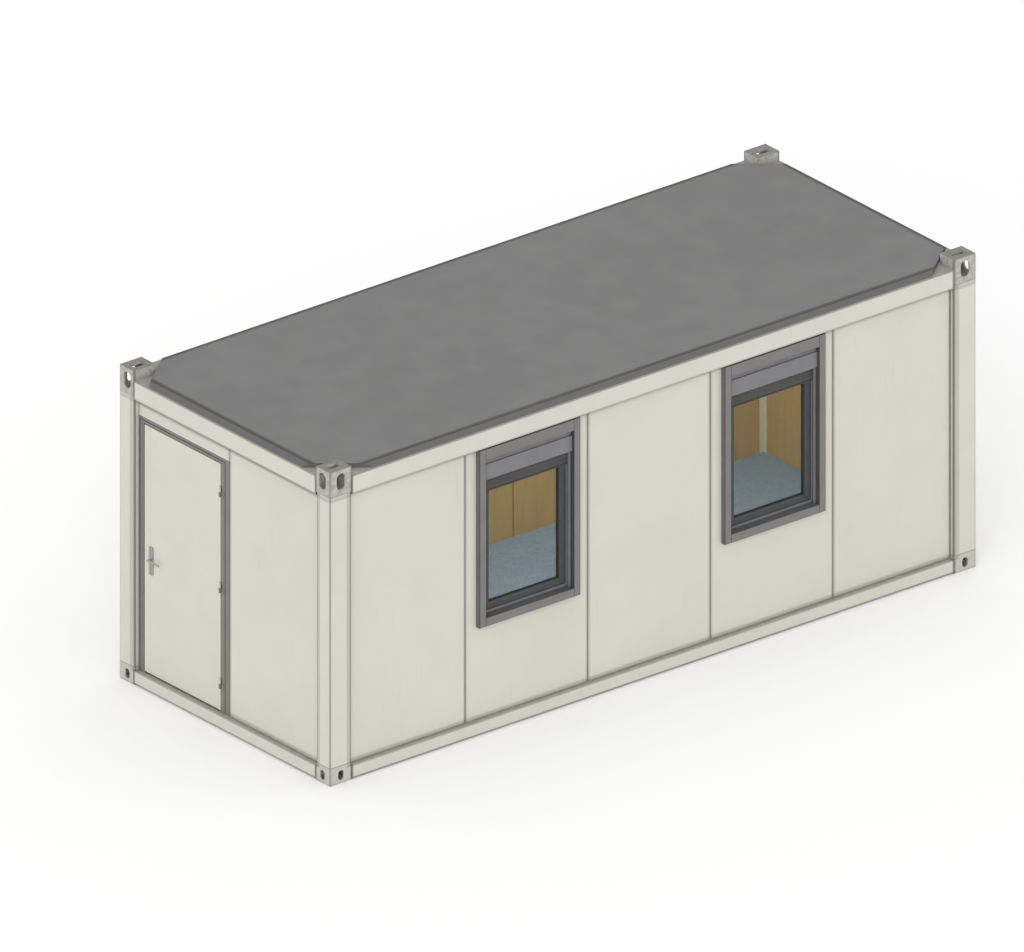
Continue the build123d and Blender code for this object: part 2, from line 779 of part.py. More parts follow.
window_parts = {}
for window_number, middle_x in enumerate(window_middle_x.values(), start=1):
    name = f"window_{window_number}"
    window_parts[f"{name}_surround"] = build_surround(middle_x)
    window_parts[f"{name}_shutter_box"] = build_shutter_box(middle_x)
    window_parts[f"{name}_shutter_curtain"] = build_curtain(middle_x)
    window_parts[f"{name}_casement"] = build_casement(middle_x)
    window_parts[f"{name}_sash"] = build_sash(middle_x)
    window_parts[f"{name}_glass"] = build_glass(middle_x)

# Door
leaf_bottom = floor_frame_top + threshold_height + leaf_floor_gap
leaf_top = frame_top - frame_head - leaf_gap
leaf_back = wall_recess + leaf_thickness
stop_front = leaf_back + stop_clearance
frame_back = wall_inside + frame_inside_proud


def end_plane_at(depth):
    """Plane parallel to the door end at a depth behind the outer face, looking outwards."""
    return Plane((depth - half_length, 0, 0), x_dir=(0, -1, 0), z_dir=(-1, 0, 0))


def end_rectangle(low_y, high_y, low_z, high_z, mode=Mode.ADD):
    with Locations((-(low_y + high_y) / 2, (low_z + high_z) / 2)):
        Rectangle(high_y - low_y, high_z - low_z, mode=mode)


with BuildPart() as door_frame:
    with BuildSketch(end_plane_at(frame_back)):
        end_rectangle(frame_low_y, frame_high_y, floor_frame_top, frame_top)
    extrude(amount=frame_back - wall_recess)
    with BuildSketch(end_plane_at(stop_front)):
        end_rectangle(
            leaf_low_y - leaf_gap,
            leaf_high_y + leaf_gap,
            floor_frame_top + threshold_height,
            leaf_top + leaf_gap,
        )
    extrude(amount=stop_front - wall_recess, mode=Mode.SUBTRACT)
    with BuildSketch(end_plane_at(frame_back)):
        end_rectangle(
            leaf_low_y + stop_overlap,
            leaf_high_y - stop_overlap,
            floor_frame_top + threshold_height,
            leaf_top - stop_overlap,
        )
    extrude(amount=frame_back - stop_front, mode=Mode.SUBTRACT)
    with BuildSketch(end_plane_at(frame_back)):
        end_rectangle(end_lining_limit, frame_high_y + fit, floor_frame_top, frame_top)
    extrude(amount=frame_back - wall_inside + lining_board, mode=Mode.SUBTRACT)
    with BuildSketch(end_plane_at(frame_back)):
        end_rectangle(frame_low_y, frame_high_y, floor_frame_top, floor_top + fit)
        end_rectangle(end_lining_limit - corner_trim_leg - fit, frame_high_y, floor_frame_top, frame_top)
    extrude(amount=frame_inside_proud, mode=Mode.SUBTRACT)
    outer_face = door_frame.faces().filter_by(Axis.X).sort_by(Axis.X)[0]
    chamfer(outer_face.edges().filter_by(Axis.Z).sort_by(Axis.Y)[0], jamb_chamfer)

pivot_x = wall_recess - hinge_offset - half_length
pivot_y = leaf_low_y - leaf_gap / 2
hinge_heights = (
    leaf_bottom + hinge_end_distance,
    (leaf_bottom + leaf_top) / 2,
    leaf_top - hinge_end_distance,
)
flag_face_x = wall_recess - half_length

with BuildPart() as door_leaf:
    with BuildSketch(end_plane_at(leaf_back)):
        end_rectangle(leaf_low_y, leaf_high_y, leaf_bottom, leaf_top)
    extrude(amount=leaf_thickness)
    fillet(door_leaf.faces().sort_by(Axis.X)[0].edges(), leaf_edge_round)
    chamfer(door_leaf.faces().sort_by(Axis.X)[-1].edges(), leaf_edge_round)
    spindle_y = leaf_high_y - handle_backset
    with BuildSketch(end_plane_at(leaf_back)):
        with Locations((-spindle_y, handle_height)):
            Circle(spindle_radius + spindle_bore_clearance)
    extrude(amount=leaf_thickness, mode=Mode.SUBTRACT)

plate_middle_z = handle_height - plate_below_handle
with BuildPart() as door_handle_plates:
    for plate_base in (wall_recess, leaf_back + plate_thickness):
        with BuildSketch(end_plane_at(plate_base)):
            with Locations((-spindle_y, plate_middle_z)):
                RectangleRounded(plate_width, plate_height, plate_corner_round)
            with Locations((-spindle_y, handle_height)):
                Circle(spindle_radius + spindle_clearance, mode=Mode.SUBTRACT)
        extrude(amount=plate_thickness)


def lever_path(side, face):
    """Out from the spindle, then along the door towards the hinges. side is -1 outside, 1 inside."""
    reach_x = face + side * (lever_projection - lever_radius)
    return [
        ((wall_recess + leaf_back) / 2 - half_length, spindle_y, handle_height),
        (reach_x - half_length, spindle_y, handle_height),
        (reach_x - half_length, spindle_y - lever_reach, handle_height),
    ]


with BuildPart() as door_lever:
    for side, face in ((-1, wall_recess), (1, leaf_back)):
        with BuildLine() as lever_line:
            Polyline(*lever_path(side, face))
        start_plane = Plane(lever_line.line @ 0, z_dir=lever_line.line % 0)
        with BuildSketch(start_plane):
            Circle(lever_radius)
        sweep(path=lever_line.line, transition=Transition.RIGHT)
    chamfer(door_lever.faces().filter_by(Axis.Y).edges(), lever_end_chamfer)

with BuildPart() as door_frame_hinges:
    for hinge_z in hinge_heights:
        with BuildSketch(Plane.XY.offset(hinge_z - knuckle_gap / 2)):
            with Locations((pivot_x, pivot_y)):
                Circle(knuckle_radius)
        extrude(amount=-knuckle_height)
        with BuildSketch(Plane.XY.offset(hinge_z - knuckle_gap / 2)):
            with Locations((flag_face_x - hinge_flag_thickness / 2, pivot_y - knuckle_gap - hinge_flag / 2)):
                Rectangle(hinge_flag_thickness, hinge_flag)
        extrude(amount=-knuckle_height)
        with BuildSketch(Plane.XY.offset(hinge_z - knuckle_gap / 2)):
            with Locations((pivot_x, pivot_y)):
                Circle(hinge_pin_radius)
        extrude(amount=knuckle_height)

with BuildPart() as door_leaf_hinges:
    for hinge_z in hinge_heights:
        with BuildSketch(Plane.XY.offset(hinge_z + knuckle_gap / 2)):
            with Locations((pivot_x, pivot_y)):
                Circle(knuckle_radius)
            with Locations((flag_face_x - hinge_flag_thickness / 2, pivot_y + knuckle_gap + hinge_flag / 2)):
                Rectangle(hinge_flag_thickness, hinge_flag)
            with Locations((pivot_x, pivot_y)):
                Circle(hinge_pin_radius + hinge_pin_clearance, mode=Mode.SUBTRACT)
        extrude(amount=knuckle_height)

sub_parts = {
    "top_corner_castings": top_corner_castings.part,
    "bottom_corner_castings": bottom_corner_castings.part,
    "corner_posts": corner_posts.part,
    "floor_side_rails": floor_side_rails.part,
    "floor_end_rails": floor_end_rails.part,
    "roof_side_rails": roof_side_rails.part,
    "roof_end_rails": roof_end_rails.part,
    "roof_sheet": roof_sheet.part,
    "underfloor_sheet": underfloor_sheet.part,
    "floor_beams": floor_beams.part,
    "floor_deck": floor_deck.part,
    "floor_covering": floor_covering.part,
    "ceiling": ceiling.part,
    "back_panels": back_panels,
    "far_end_panels": far_end_panels,
    "door_end_panel": door_end_panel.part,
    "door_header_panel": door_header_panel.part,
    "front_lining": front_lining.part,
    "back_lining": back_lining,
    "far_end_lining": far_end_lining,
    "door_end_lining": door_end_lining.part,
    "inner_corner_trims": inner_corner_trims.part,
    "door_frame": door_frame.part,
    "door_leaf": door_leaf.part,
    "door_handle_plates": door_handle_plates.part,
    "door_lever": door_lever.part,
    "door_frame_hinges": door_frame_hinges.part,
    "door_leaf_hinges": door_leaf_hinges.part,
}
for panel_number, front_panel_part in enumerate(front_panels, start=1):
    sub_parts[f"front_panel_{panel_number}"] = front_panel_part
sub_parts.update(window_parts)

for name, piece in sub_parts.items():
    piece.label = name
    export_step(piece, f"parts/{name}.step")
    print(name, len(piece.solids()), round(piece.volume / 1e6, 3), "litres")
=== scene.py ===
import json
import math

import bpy
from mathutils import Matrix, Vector


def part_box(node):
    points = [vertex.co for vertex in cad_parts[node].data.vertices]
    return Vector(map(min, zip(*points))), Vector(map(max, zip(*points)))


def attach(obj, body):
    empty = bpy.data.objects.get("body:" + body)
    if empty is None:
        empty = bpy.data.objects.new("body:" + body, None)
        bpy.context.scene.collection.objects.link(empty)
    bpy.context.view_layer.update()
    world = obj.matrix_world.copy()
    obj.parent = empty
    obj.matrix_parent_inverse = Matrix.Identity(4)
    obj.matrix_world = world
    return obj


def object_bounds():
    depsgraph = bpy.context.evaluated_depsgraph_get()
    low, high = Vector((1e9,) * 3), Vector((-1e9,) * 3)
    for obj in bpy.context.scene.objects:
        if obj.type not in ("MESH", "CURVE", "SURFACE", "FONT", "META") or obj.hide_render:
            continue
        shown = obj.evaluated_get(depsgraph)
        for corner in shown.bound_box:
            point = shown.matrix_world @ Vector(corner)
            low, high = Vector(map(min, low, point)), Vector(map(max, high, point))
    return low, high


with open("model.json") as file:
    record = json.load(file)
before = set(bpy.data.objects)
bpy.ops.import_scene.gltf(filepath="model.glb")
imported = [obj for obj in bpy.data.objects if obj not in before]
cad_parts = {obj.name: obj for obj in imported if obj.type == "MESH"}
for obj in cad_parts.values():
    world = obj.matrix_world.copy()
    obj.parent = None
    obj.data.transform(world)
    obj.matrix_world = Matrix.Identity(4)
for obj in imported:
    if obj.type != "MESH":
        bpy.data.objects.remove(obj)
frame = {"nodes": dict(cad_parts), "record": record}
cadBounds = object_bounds()
mm = 0.001
print("scene: frame loaded,", len(frame["nodes"]), "nodes")

# Places that pieces and finishes share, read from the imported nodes, in metres
halfLength, halfWidth = cadBounds[1][0], cadBounds[1][1]
wallLow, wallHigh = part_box("front_panel_1")[0].z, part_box("front_panel_1")[1].z
frontFace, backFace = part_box("front_panel_1")[0].y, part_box("back_panels")[1].y
doorEndFace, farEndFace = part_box("door_end_panel")[0].x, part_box("far_end_panels")[1].x
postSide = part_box("floor_side_rails")[1].x       # castings and posts begin here along the long sides
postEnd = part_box("floor_end_rails")[1].y         # and here along the short ones
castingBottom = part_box("top_corner_castings")[0].z
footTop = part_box("bottom_corner_castings")[1].z
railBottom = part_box("roof_side_rails")[0].z
jointPlaces = [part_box(f"front_panel_{n}")[0].x - 0.5 * mm for n in range(2, 6)]
surrounds = [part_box(f"window_{n}_surround") for n in (1, 2)]
windowMiddles = [(low.x + high.x) / 2 for low, high in surrounds]
revealHalf = 827 * mm / 2                        # half the clear width of a window's reveal, which no box gives


# Small helpers

def toLinear(hexText):  # "#d6d4cc" as the eye sees it, to the linear colour that a shader takes
    parts = [int(hexText[i:i + 2], 16) / 255 for i in (1, 3, 5)]
    return [p / 12.92 if p <= 0.04045 else ((p + 0.055) / 1.055) ** 2.4 for p in parts] + [1.0]


def inMetres(sizes):  # a piece's sizes, which its dictionary holds in millimetres
    return {name: [v * mm for v in size] if isinstance(size, tuple) else size * mm
            for name, size in sizes.items()}


def addNode(tree, kind, settings=None, links=None):  # a node with its settings and what feeds it
    node = tree.nodes.new(kind)
    for name, value in (settings or {}).items():
        if isinstance(name, str) and hasattr(node, name):
            setattr(node, name, value)
        else:
            node.inputs[name].default_value = value
    for name, source in (links or {}).items():
        tree.links.new(source, node.inputs[name])
    return node


def startMaterial(name, roughness, metallic=0.0):
    material = bpy.data.materials.new(name)
    material.use_nodes = True
    tree = material.node_tree
    shader = tree.nodes["Principled BSDF"]
    shader.inputs["Roughness"].default_value = roughness
    shader.inputs["Metallic"].default_value = metallic
    place = addNode(tree, "ShaderNodeTexCoord").outputs["Object"]
    return material, tree, shader, place


def layCoats(tree, shader, ground, coats):  # each coat is a mask and the colour that shows where the mask is 1
    below = None
    for mask, colour in coats:
        settings, links = {"data_type": "RGBA", 7: toLinear(colour)}, {0: mask}
        if below is None:
            settings[6] = toLinear(ground)
        else:
            links[6] = below
        below = addNode(tree, "ShaderNodeMix", settings, links).outputs[2]
    tree.links.new(below, shader.inputs["Base Color"])


def addRelief(tree, shader, heights):  # heights: (socket, depth in mm), laid on each other
    normal = None
    for height, depthMm in heights:
        links = {"Height": height}
        if normal is not None:
            links["Normal"] = normal
        normal = addNode(tree, "ShaderNodeBump", {"Strength": 1.0, "Distance": depthMm * mm}, links).outputs[0]
    tree.links.new(normal, shader.inputs["Normal"])


# Patterns: each gives one number over the surface, mostly a mask from 0 to 1

def cloud(tree, place, sizeMm, low, high, stretch=(1, 1, 1), detail=3.0):
    # soft blotches about sizeMm across, turned into a number from low to high
    scale = 1 / (sizeMm * mm)
    spread = addNode(tree, "ShaderNodeMapping", {"Scale": [scale * s for s in stretch]}, {"Vector": place})
    noise = addNode(tree, "ShaderNodeTexNoise", {"Scale": 1.0, "Detail": detail, "Roughness": 0.55},
                    {"Vector": spread.outputs["Vector"]})
    level = addNode(tree, "ShaderNodeMapRange",
                    {"From Min": 0.3, "From Max": 0.7, "To Min": low, "To Max": high},
                    {"Value": noise.outputs["Fac"]})
    return level.outputs["Result"]


def rainStreaks(tree, place, widthMm, most):  # only the strongest of many long upright blotches
    long = cloud(tree, place, widthMm, -0.5, most, stretch=(1, 1, 0.06))
    return addNode(tree, "ShaderNodeMath", {"operation": "MAXIMUM", 1: 0.0}, {0: long}).outputs[0]


# Painted shade from ambient occlusion: the colour darkens where surfaces meet
def paintedCornerShade(tree, reachMm, most):  # grows where surfaces meet
    nearby = addNode(tree, "ShaderNodeAmbientOcclusion", {"samples": 6, "Distance": reachMm * mm})
    level = addNode(tree, "ShaderNodeMapRange",
                    {"From Min": 0.78, "From Max": 0.25, "To Min": 0.0, "To Max": most},
                    {"Value": nearby.outputs["AO"]})
    return level.outputs["Result"]


def splashes(tree, place, reach, most):  # mud thrown up by rain, thinning out upwards
    height = addNode(tree, "ShaderNodeSeparateXYZ", {}, {0: place}).outputs["Z"]
    level = addNode(tree, "ShaderNodeMapRange",
                    {"From Min": 0.0, "From Max": reach, "To Min": most, "To Max": 0.0},
                    {"Value": height}).outputs["Result"]
    spots = cloud(tree, place, 35, 0.15, 1.0, detail=6.0)
    return addNode(tree, "ShaderNodeMath", {"operation": "MULTIPLY"}, {0: level, 1: spots}).outputs[0]


# Painted shade: darker where a face turns away from the three main directions
def paintedFoldShade(tree, fold):  # where a face turns away from the three main directions: bevels, bends, round edges
    normal = addNode(tree, "ShaderNodeTexCoord").outputs["Normal"]
    sizes = addNode(tree, "ShaderNodeVectorMath", {"operation": "ABSOLUTE"}, {0: normal}).outputs[0]
    sides = addNode(tree, "ShaderNodeSeparateXYZ", {}, {0: sizes}).outputs
    level = addNode(tree, "ShaderNodeMath", {"operation": "MAXIMUM"}, {0: sides["X"], 1: sides["Y"]}).outputs[0]
    level = addNode(tree, "ShaderNodeMath", {"operation": "MAXIMUM"}, {0: level, 1: sides["Z"]}).outputs[0]
    mask = addNode(tree, "ShaderNodeMapRange", {"From Min": 1 - fold["from"], "From Max": 1 - fold["to"],
                                                "To Min": 0.0, "To Max": fold["most"]}, {"Value": level})
    return mask.outputs["Result"]


# Wear on the castings' tops, and painted shade on the ledges low down
def topWearAndShade(tree, place, topMark):  # faces that look up between two heights, broken up a little
    normal = addNode(tree, "ShaderNodeTexCoord").outputs["Normal"]
    upward = addNode(tree, "ShaderNodeSeparateXYZ", {}, {0: normal}).outputs["Z"]
    mask = addNode(tree, "ShaderNodeMath", {"operation": "GREATER_THAN", 1: 0.9}, {0: upward}).outputs[0]
    height = addNode(tree, "ShaderNodeSeparateXYZ", {}, {0: place}).outputs["Z"]
    low, high = topMark["between"]
    there = addNode(tree, "ShaderNodeMath", {"operation": "COMPARE", 1: (low + high) / 2, 2: (high - low) / 2},
                    {0: height}).outputs[0]
    mask = addNode(tree, "ShaderNodeMath", {"operation": "MULTIPLY"}, {0: mask, 1: there}).outputs[0]
    patchiness = cloud(tree, place, topMark["sizeMm"], topMark["most"] - 0.25, topMark["most"], detail=5.0)
    return addNode(tree, "ShaderNodeMath", {"operation": "MULTIPLY"}, {0: mask, 1: patchiness}).outputs[0]


def jointLine(tree, place, line):
    # a darker line along a joint or edge, the same on both sides of the middle: dirt in some places, painted
    # shade in others; "at" is its distance from the middle along "axis", "only" keeps it to a range of
    # distances, and "patchMm" breaks it up
    apart = addNode(tree, "ShaderNodeVectorMath", {"operation": "ABSOLUTE"}, {0: place}).outputs[0]
    ways = addNode(tree, "ShaderNodeSeparateXYZ", {}, {0: apart}).outputs
    away = addNode(tree, "ShaderNodeMath", {"operation": "SUBTRACT", 1: line["at"]}, {0: ways[line["axis"]]})
    away = addNode(tree, "ShaderNodeMath", {"operation": "ABSOLUTE"}, {0: away.outputs[0]})
    mask = addNode(tree, "ShaderNodeMapRange",
                   {"From Min": line["halfMm"] * mm, "From Max": 0.5 * line["halfMm"] * mm, "To Min": 0.0,
                    "To Max": line["most"]}, {"Value": away.outputs[0]}).outputs["Result"]
    if "patchMm" in line:
        patches = cloud(tree, place, line["patchMm"], 0.35, 1.0, detail=5.0)
        mask = addNode(tree, "ShaderNodeMath", {"operation": "MULTIPLY"}, {0: mask, 1: patches}).outputs[0]
    for axis, (low, high) in line["only"].items():
        there = addNode(tree, "ShaderNodeMath",
                        {"operation": "COMPARE", 1: (low + high) / 2, 2: (high - low) / 2},
                        {0: ways[axis]}).outputs[0]
        mask = addNode(tree, "ShaderNodeMath", {"operation": "MULTIPLY"}, {0: mask, 1: there}).outputs[0]
    return mask


# Coated steel: every painted, powder coated or coil coated sheet of the container

def coatedSteel(look):
    material, tree, shader, place = startMaterial(look["name"], look["roughness"])
    shader.inputs["IOR"].default_value = 1.5
    shader.inputs["Specular IOR Level"].default_value = look["shine"]
    coats = [
        (cloud(tree, place, look["blotchMm"], 0.0, 1.0), look["second"]),
        (rainStreaks(tree, place, look["streakMm"], look["streaks"]), look["dirtAndShade"]),
        # painted shade: the colour darkens where surfaces meet; the same colour also serves the rain streaks
        (paintedCornerShade(tree, look["shadeReachMm"], look["shadeInCorners"]), look["dirtAndShade"]),
        (splashes(tree, place, 0.32, look["splash"]), look["dust"]),
    ]
    coats += [(paintedFoldShade(tree, fold), fold["colour"]) for fold in look.get("folds", [])]
    coats += [(topWearAndShade(tree, place, topMark), topMark["colour"]) for topMark in look.get("tops", [])]
    coats += [(jointLine(tree, place, line), line["colour"]) for line in look.get("joints", [])]
    layCoats(tree, shader, look["colour"], coats)
    rough = cloud(tree, place, look["blotchMm"] * 0.4, look["roughness"] - 0.05, look["roughness"] + 0.07)
    tree.links.new(rough, shader.inputs["Roughness"])
    peel = cloud(tree, place, look["grainMm"], 0.0, 1.0, detail=1.0)
    waves = cloud(tree, place, look["waveMm"], 0.0, 1.0, detail=0.0)
    addRelief(tree, shader, [(waves, look["waveDepthMm"]), (peel, look["grainDepthMm"])])
    return material


# Ranges of distance from the middle that keep a joint's dirt to one skin
cornerSide, cornerEnd = (postSide - mm, halfLength + mm), (postEnd - mm, halfWidth + mm)
sideSkin, endSkin = (halfWidth - 20 * mm, halfWidth + mm), (halfLength - 20 * mm, halfLength + mm)
wallSkin, endWallSkin = (backFace - 15 * mm, backFace + mm), (farEndFace - 15 * mm, farEndFace + mm)

# Two-pack paint sprayed on rolled steel: satin off-white with orange peel, dirt in the weld seams, painted
# shade on bevels and bends, and the castings' tops worn by lifting gear and by the container stacked on them
framePaint = coatedSteel({
    "name": "framePaint", "colour": "#d7d5cb", "second": "#d2d0c6", "dirtAndShade": "#85827a", "dust": "#b3aa98",
    "roughness": 0.42, "shine": 0.35, "blotchMm": 420, "streakMm": 26, "streaks": 0.06,
    "shadeReachMm": 50, "shadeInCorners": 0.45, "splash": 0.12, "grainMm": 3.0, "grainDepthMm": 0.05,
    "waveMm": 260, "waveDepthMm": 0.35,
    "folds": [
        # painted shade: bevels and bends darkened by their tilt
        {"from": 0.004, "to": 0.014, "most": 0.42, "colour": "#8f8c84"},
        {"from": 0.03, "to": 0.2, "most": 0.35, "colour": "#7d7a73"},
    ],
    "tops": [
        {"between": (castingBottom + 0.18, 2.6), "sizeMm": 24, "most": 0.97, "colour": "#3f3e3c"},
        # painted shade on the up-facing ledges low down, broken up in patches
        {"between": (0.02, footTop + 0.01), "sizeMm": 40, "most": 0.75, "colour": "#7d7a72"},
    ],
    "joints": [
        # painted shade on the posts' inner sides, next to the walls
        {"axis": "X", "at": postSide, "halfMm": 18, "most": 0.75, "colour": "#5d5b55", "only": {"Y": sideSkin}},
        {"axis": "Y", "at": postEnd, "halfMm": 16, "most": 0.7, "colour": "#5d5b55", "only": {"X": endSkin}},
        {"axis": "X", "at": halfLength, "halfMm": 13, "most": 0.4, "colour": "#6b6963",
         "only": {"Y": (halfWidth - 11 * mm, halfWidth + mm)}},
        {"axis": "Z", "at": castingBottom, "halfMm": 5, "most": 0.55, "colour": "#6b6963",
         "only": {"X": cornerSide, "Y": cornerEnd}},
        {"axis": "Z", "at": footTop, "halfMm": 5, "most": 0.6, "colour": "#6b6963",
         "only": {"X": cornerSide, "Y": cornerEnd}},
        # painted shade along the underside of the roof rail
        {"axis": "Z", "at": railBottom, "halfMm": 22, "most": 0.3, "colour": "#6b6963",
         "only": {"X": (0, halfLength)}},
        {"axis": "Z", "at": castingBottom + 115 * mm, "halfMm": 232, "most": 0.75, "patchMm": 34,
         "colour": "#807e78",
         "only": {"X": cornerSide, "Y": cornerEnd, "Z": (castingBottom, castingBottom + 0.3)}},
        {"axis": "Z", "at": 0, "halfMm": 290, "most": 0.4, "patchMm": 40,
         "colour": "#84827c", "only": {"X": cornerSide, "Y": cornerEnd, "Z": (-10 * mm, footTop)}},
    ],
})

# What the facings of wall panels and door leaf have in common
coilCoat = {"colour": "#d8d6cb", "second": "#d3d1c6", "dirtAndShade": "#85827a", "dust": "#b3aa98", "grainMm": 1.8,
            "grainDepthMm": 0.02}

# Coil coated steel facing of a foam panel: smoother than the frame, a faint quilting from the foam behind it,
# and dirt held in the grooves between two panels
panelCoating = coatedSteel({
    **coilCoat, "name": "panelCoating", "roughness": 0.48, "shine": 0.3, "blotchMm": 650,
    "streakMm": 34, "streaks": 0.05, "shadeReachMm": 45, "shadeInCorners": 0.4, "splash": 0.12,
    "waveMm": 190, "waveDepthMm": 0.5,
    "joints": [{"axis": axis, "at": abs(at), "halfMm": half, "most": most, "colour": "#5f5d57", "only": only}
               for axis, at, only in [("X", x, {"Y": wallSkin}) for x in jointPlaces[2:]]
               + [("Y", 0, {"X": endWallSkin})]
               for half, most in ((26, 0.25), (10, 0.35))]
    # painted shade on the wall beside the posts and under the roof rail; the last line darkens the wall's foot
    + [{"axis": axis, "at": at, "halfMm": half, "most": most, "colour": "#5f5d57", "only": only}
       for axis, at, half, most, only in (
           ("X", postSide, 18, 0.7, {"Y": wallSkin}), ("Y", postEnd, 12, 0.6, {"X": endWallSkin}),
           ("Z", wallHigh, 44, 0.3, {"Y": wallSkin}), ("Z", wallHigh, 56, 0.7, {"X": endWallSkin}),
           ("Z", wallLow, 44, 0.35, {}))],
})

# Door skin: the same coating as the panels, its folded edges darkened by their tilt as painted shade
doorSkin = coatedSteel({
    **coilCoat, "name": "doorSkin", "roughness": 0.45, "shine": 0.32, "blotchMm": 380,
    "streakMm": 30, "streaks": 0.04, "shadeReachMm": 18, "shadeInCorners": 0.5, "splash": 0.2,
    "waveMm": 240, "waveDepthMm": 0.3,
    # painted shade on the folded edges
    "folds": [{"from": 0.02, "to": 0.2, "most": 0.4, "colour": "#87847c"}],
})

# Grey paint on the folded steel door frame
doorFramePaint = coatedSteel({
    "name": "doorFramePaint", "colour": "#82817a", "second": "#7c7a73", "dirtAndShade": "#3d3b37", "dust": "#8d8575",
    "roughness": 0.46, "shine": 0.35, "blotchMm": 200, "streakMm": 18, "streaks": 0.06,
    "shadeReachMm": 16, "shadeInCorners": 0.6, "splash": 0.2, "grainMm": 2.4, "grainDepthMm": 0.04,
    "waveMm": 240, "waveDepthMm": 0.15,
})

surroundHalf = (surrounds[0][1].x - surrounds[0][0].x) / 2
windowSide = abs(windowMiddles[0])

# Powder coat on the folded window surround: matt, with the even fine grain of baked powder, and painted
# shade on the sides of the reveal, on its sill and bends, and lightly on the flange's outer edges
surroundPowder = coatedSteel({
    "name": "surroundPowder", "colour": "#7f7e7c", "second": "#797876", "dirtAndShade": "#3f3e3c", "dust": "#8d8779",
    "roughness": 0.55, "shine": 0.3, "blotchMm": 160, "streakMm": 14, "streaks": 0.06,
    "shadeReachMm": 20, "shadeInCorners": 0.6, "splash": 0.0, "grainMm": 1.2, "grainDepthMm": 0.06,
    "waveMm": 220, "waveDepthMm": 0.1,
    # painted shade on the sill and bends
    "folds": [{"from": 0.012, "to": 0.02, "most": 0.75, "colour": "#38373a"}],
    # painted shade on the reveal's sides, and lightly on the flange's outer edges
    "joints": [{"axis": "X", "at": windowSide + side * reach, "halfMm": 3, "most": most, "colour": "#38373a",
                "only": {"Y": (1, halfWidth)}}
               for side in (-1, 1) for reach, most in ((revealHalf, 0.8), (surroundHalf, 0.35))],
})

# Powder coated aluminium of the shutter's box: a slightly cooler grey than the surround
shutterPowder = coatedSteel({
    "name": "shutterPowder", "colour": "#808083", "second": "#79797c", "dirtAndShade": "#404043", "dust": "#8d8779",
    "roughness": 0.5, "shine": 0.35, "blotchMm": 140, "streakMm": 12, "streaks": 0.08,
    "shadeReachMm": 14, "shadeInCorners": 0.6, "splash": 0.0, "grainMm": 1.2, "grainDepthMm": 0.05,
    "waveMm": 180, "waveDepthMm": 0.1,
    # painted shade: the box's rounded edges darkened by their tilt
    "folds": [{"from": 0.02, "to": 0.2, "most": 0.5, "colour": "#4b4b4d"}],
})

# Lacquer on the roll-formed slats: anthracite, satin
# the slats' dark tone is their lacquer, and in part painted shade under the shutter box
slatLacquer = coatedSteel({
    "name": "slatLacquer", "colour": "#4c4b4a", "second": "#444342", "dirtAndShade": "#242424", "dust": "#6f6b62",
    "roughness": 0.45, "shine": 0.4, "blotchMm": 120, "streakMm": 10, "streaks": 0.12,
    "shadeReachMm": 10, "shadeInCorners": 0.7, "splash": 0.0, "grainMm": 1.0, "grainDepthMm": 0.03,
    "waveMm": 150, "waveDepthMm": 0.1,
})

# White coated ceiling board: matt with a fine stipple
ceilingCoating = coatedSteel({
    "name": "ceilingCoating", "colour": "#e2e1dc", "second": "#dbdad4", "dirtAndShade": "#a9a69c", "dust": "#b8b2a4",
    "roughness": 0.65, "shine": 0.2, "blotchMm": 300, "streakMm": 200, "streaks": 0.0,
    "shadeReachMm": 20, "shadeInCorners": 0.3, "splash": 0.0, "grainMm": 2.2, "grainDepthMm": 0.08,
    "waveMm": 400, "waveDepthMm": 0.2,
})


# Plastic coated roof sheet: matt mid grey, dust dried in faint puddles, a dark band along the pan's rim, and
# painted shade on the sloping flanks

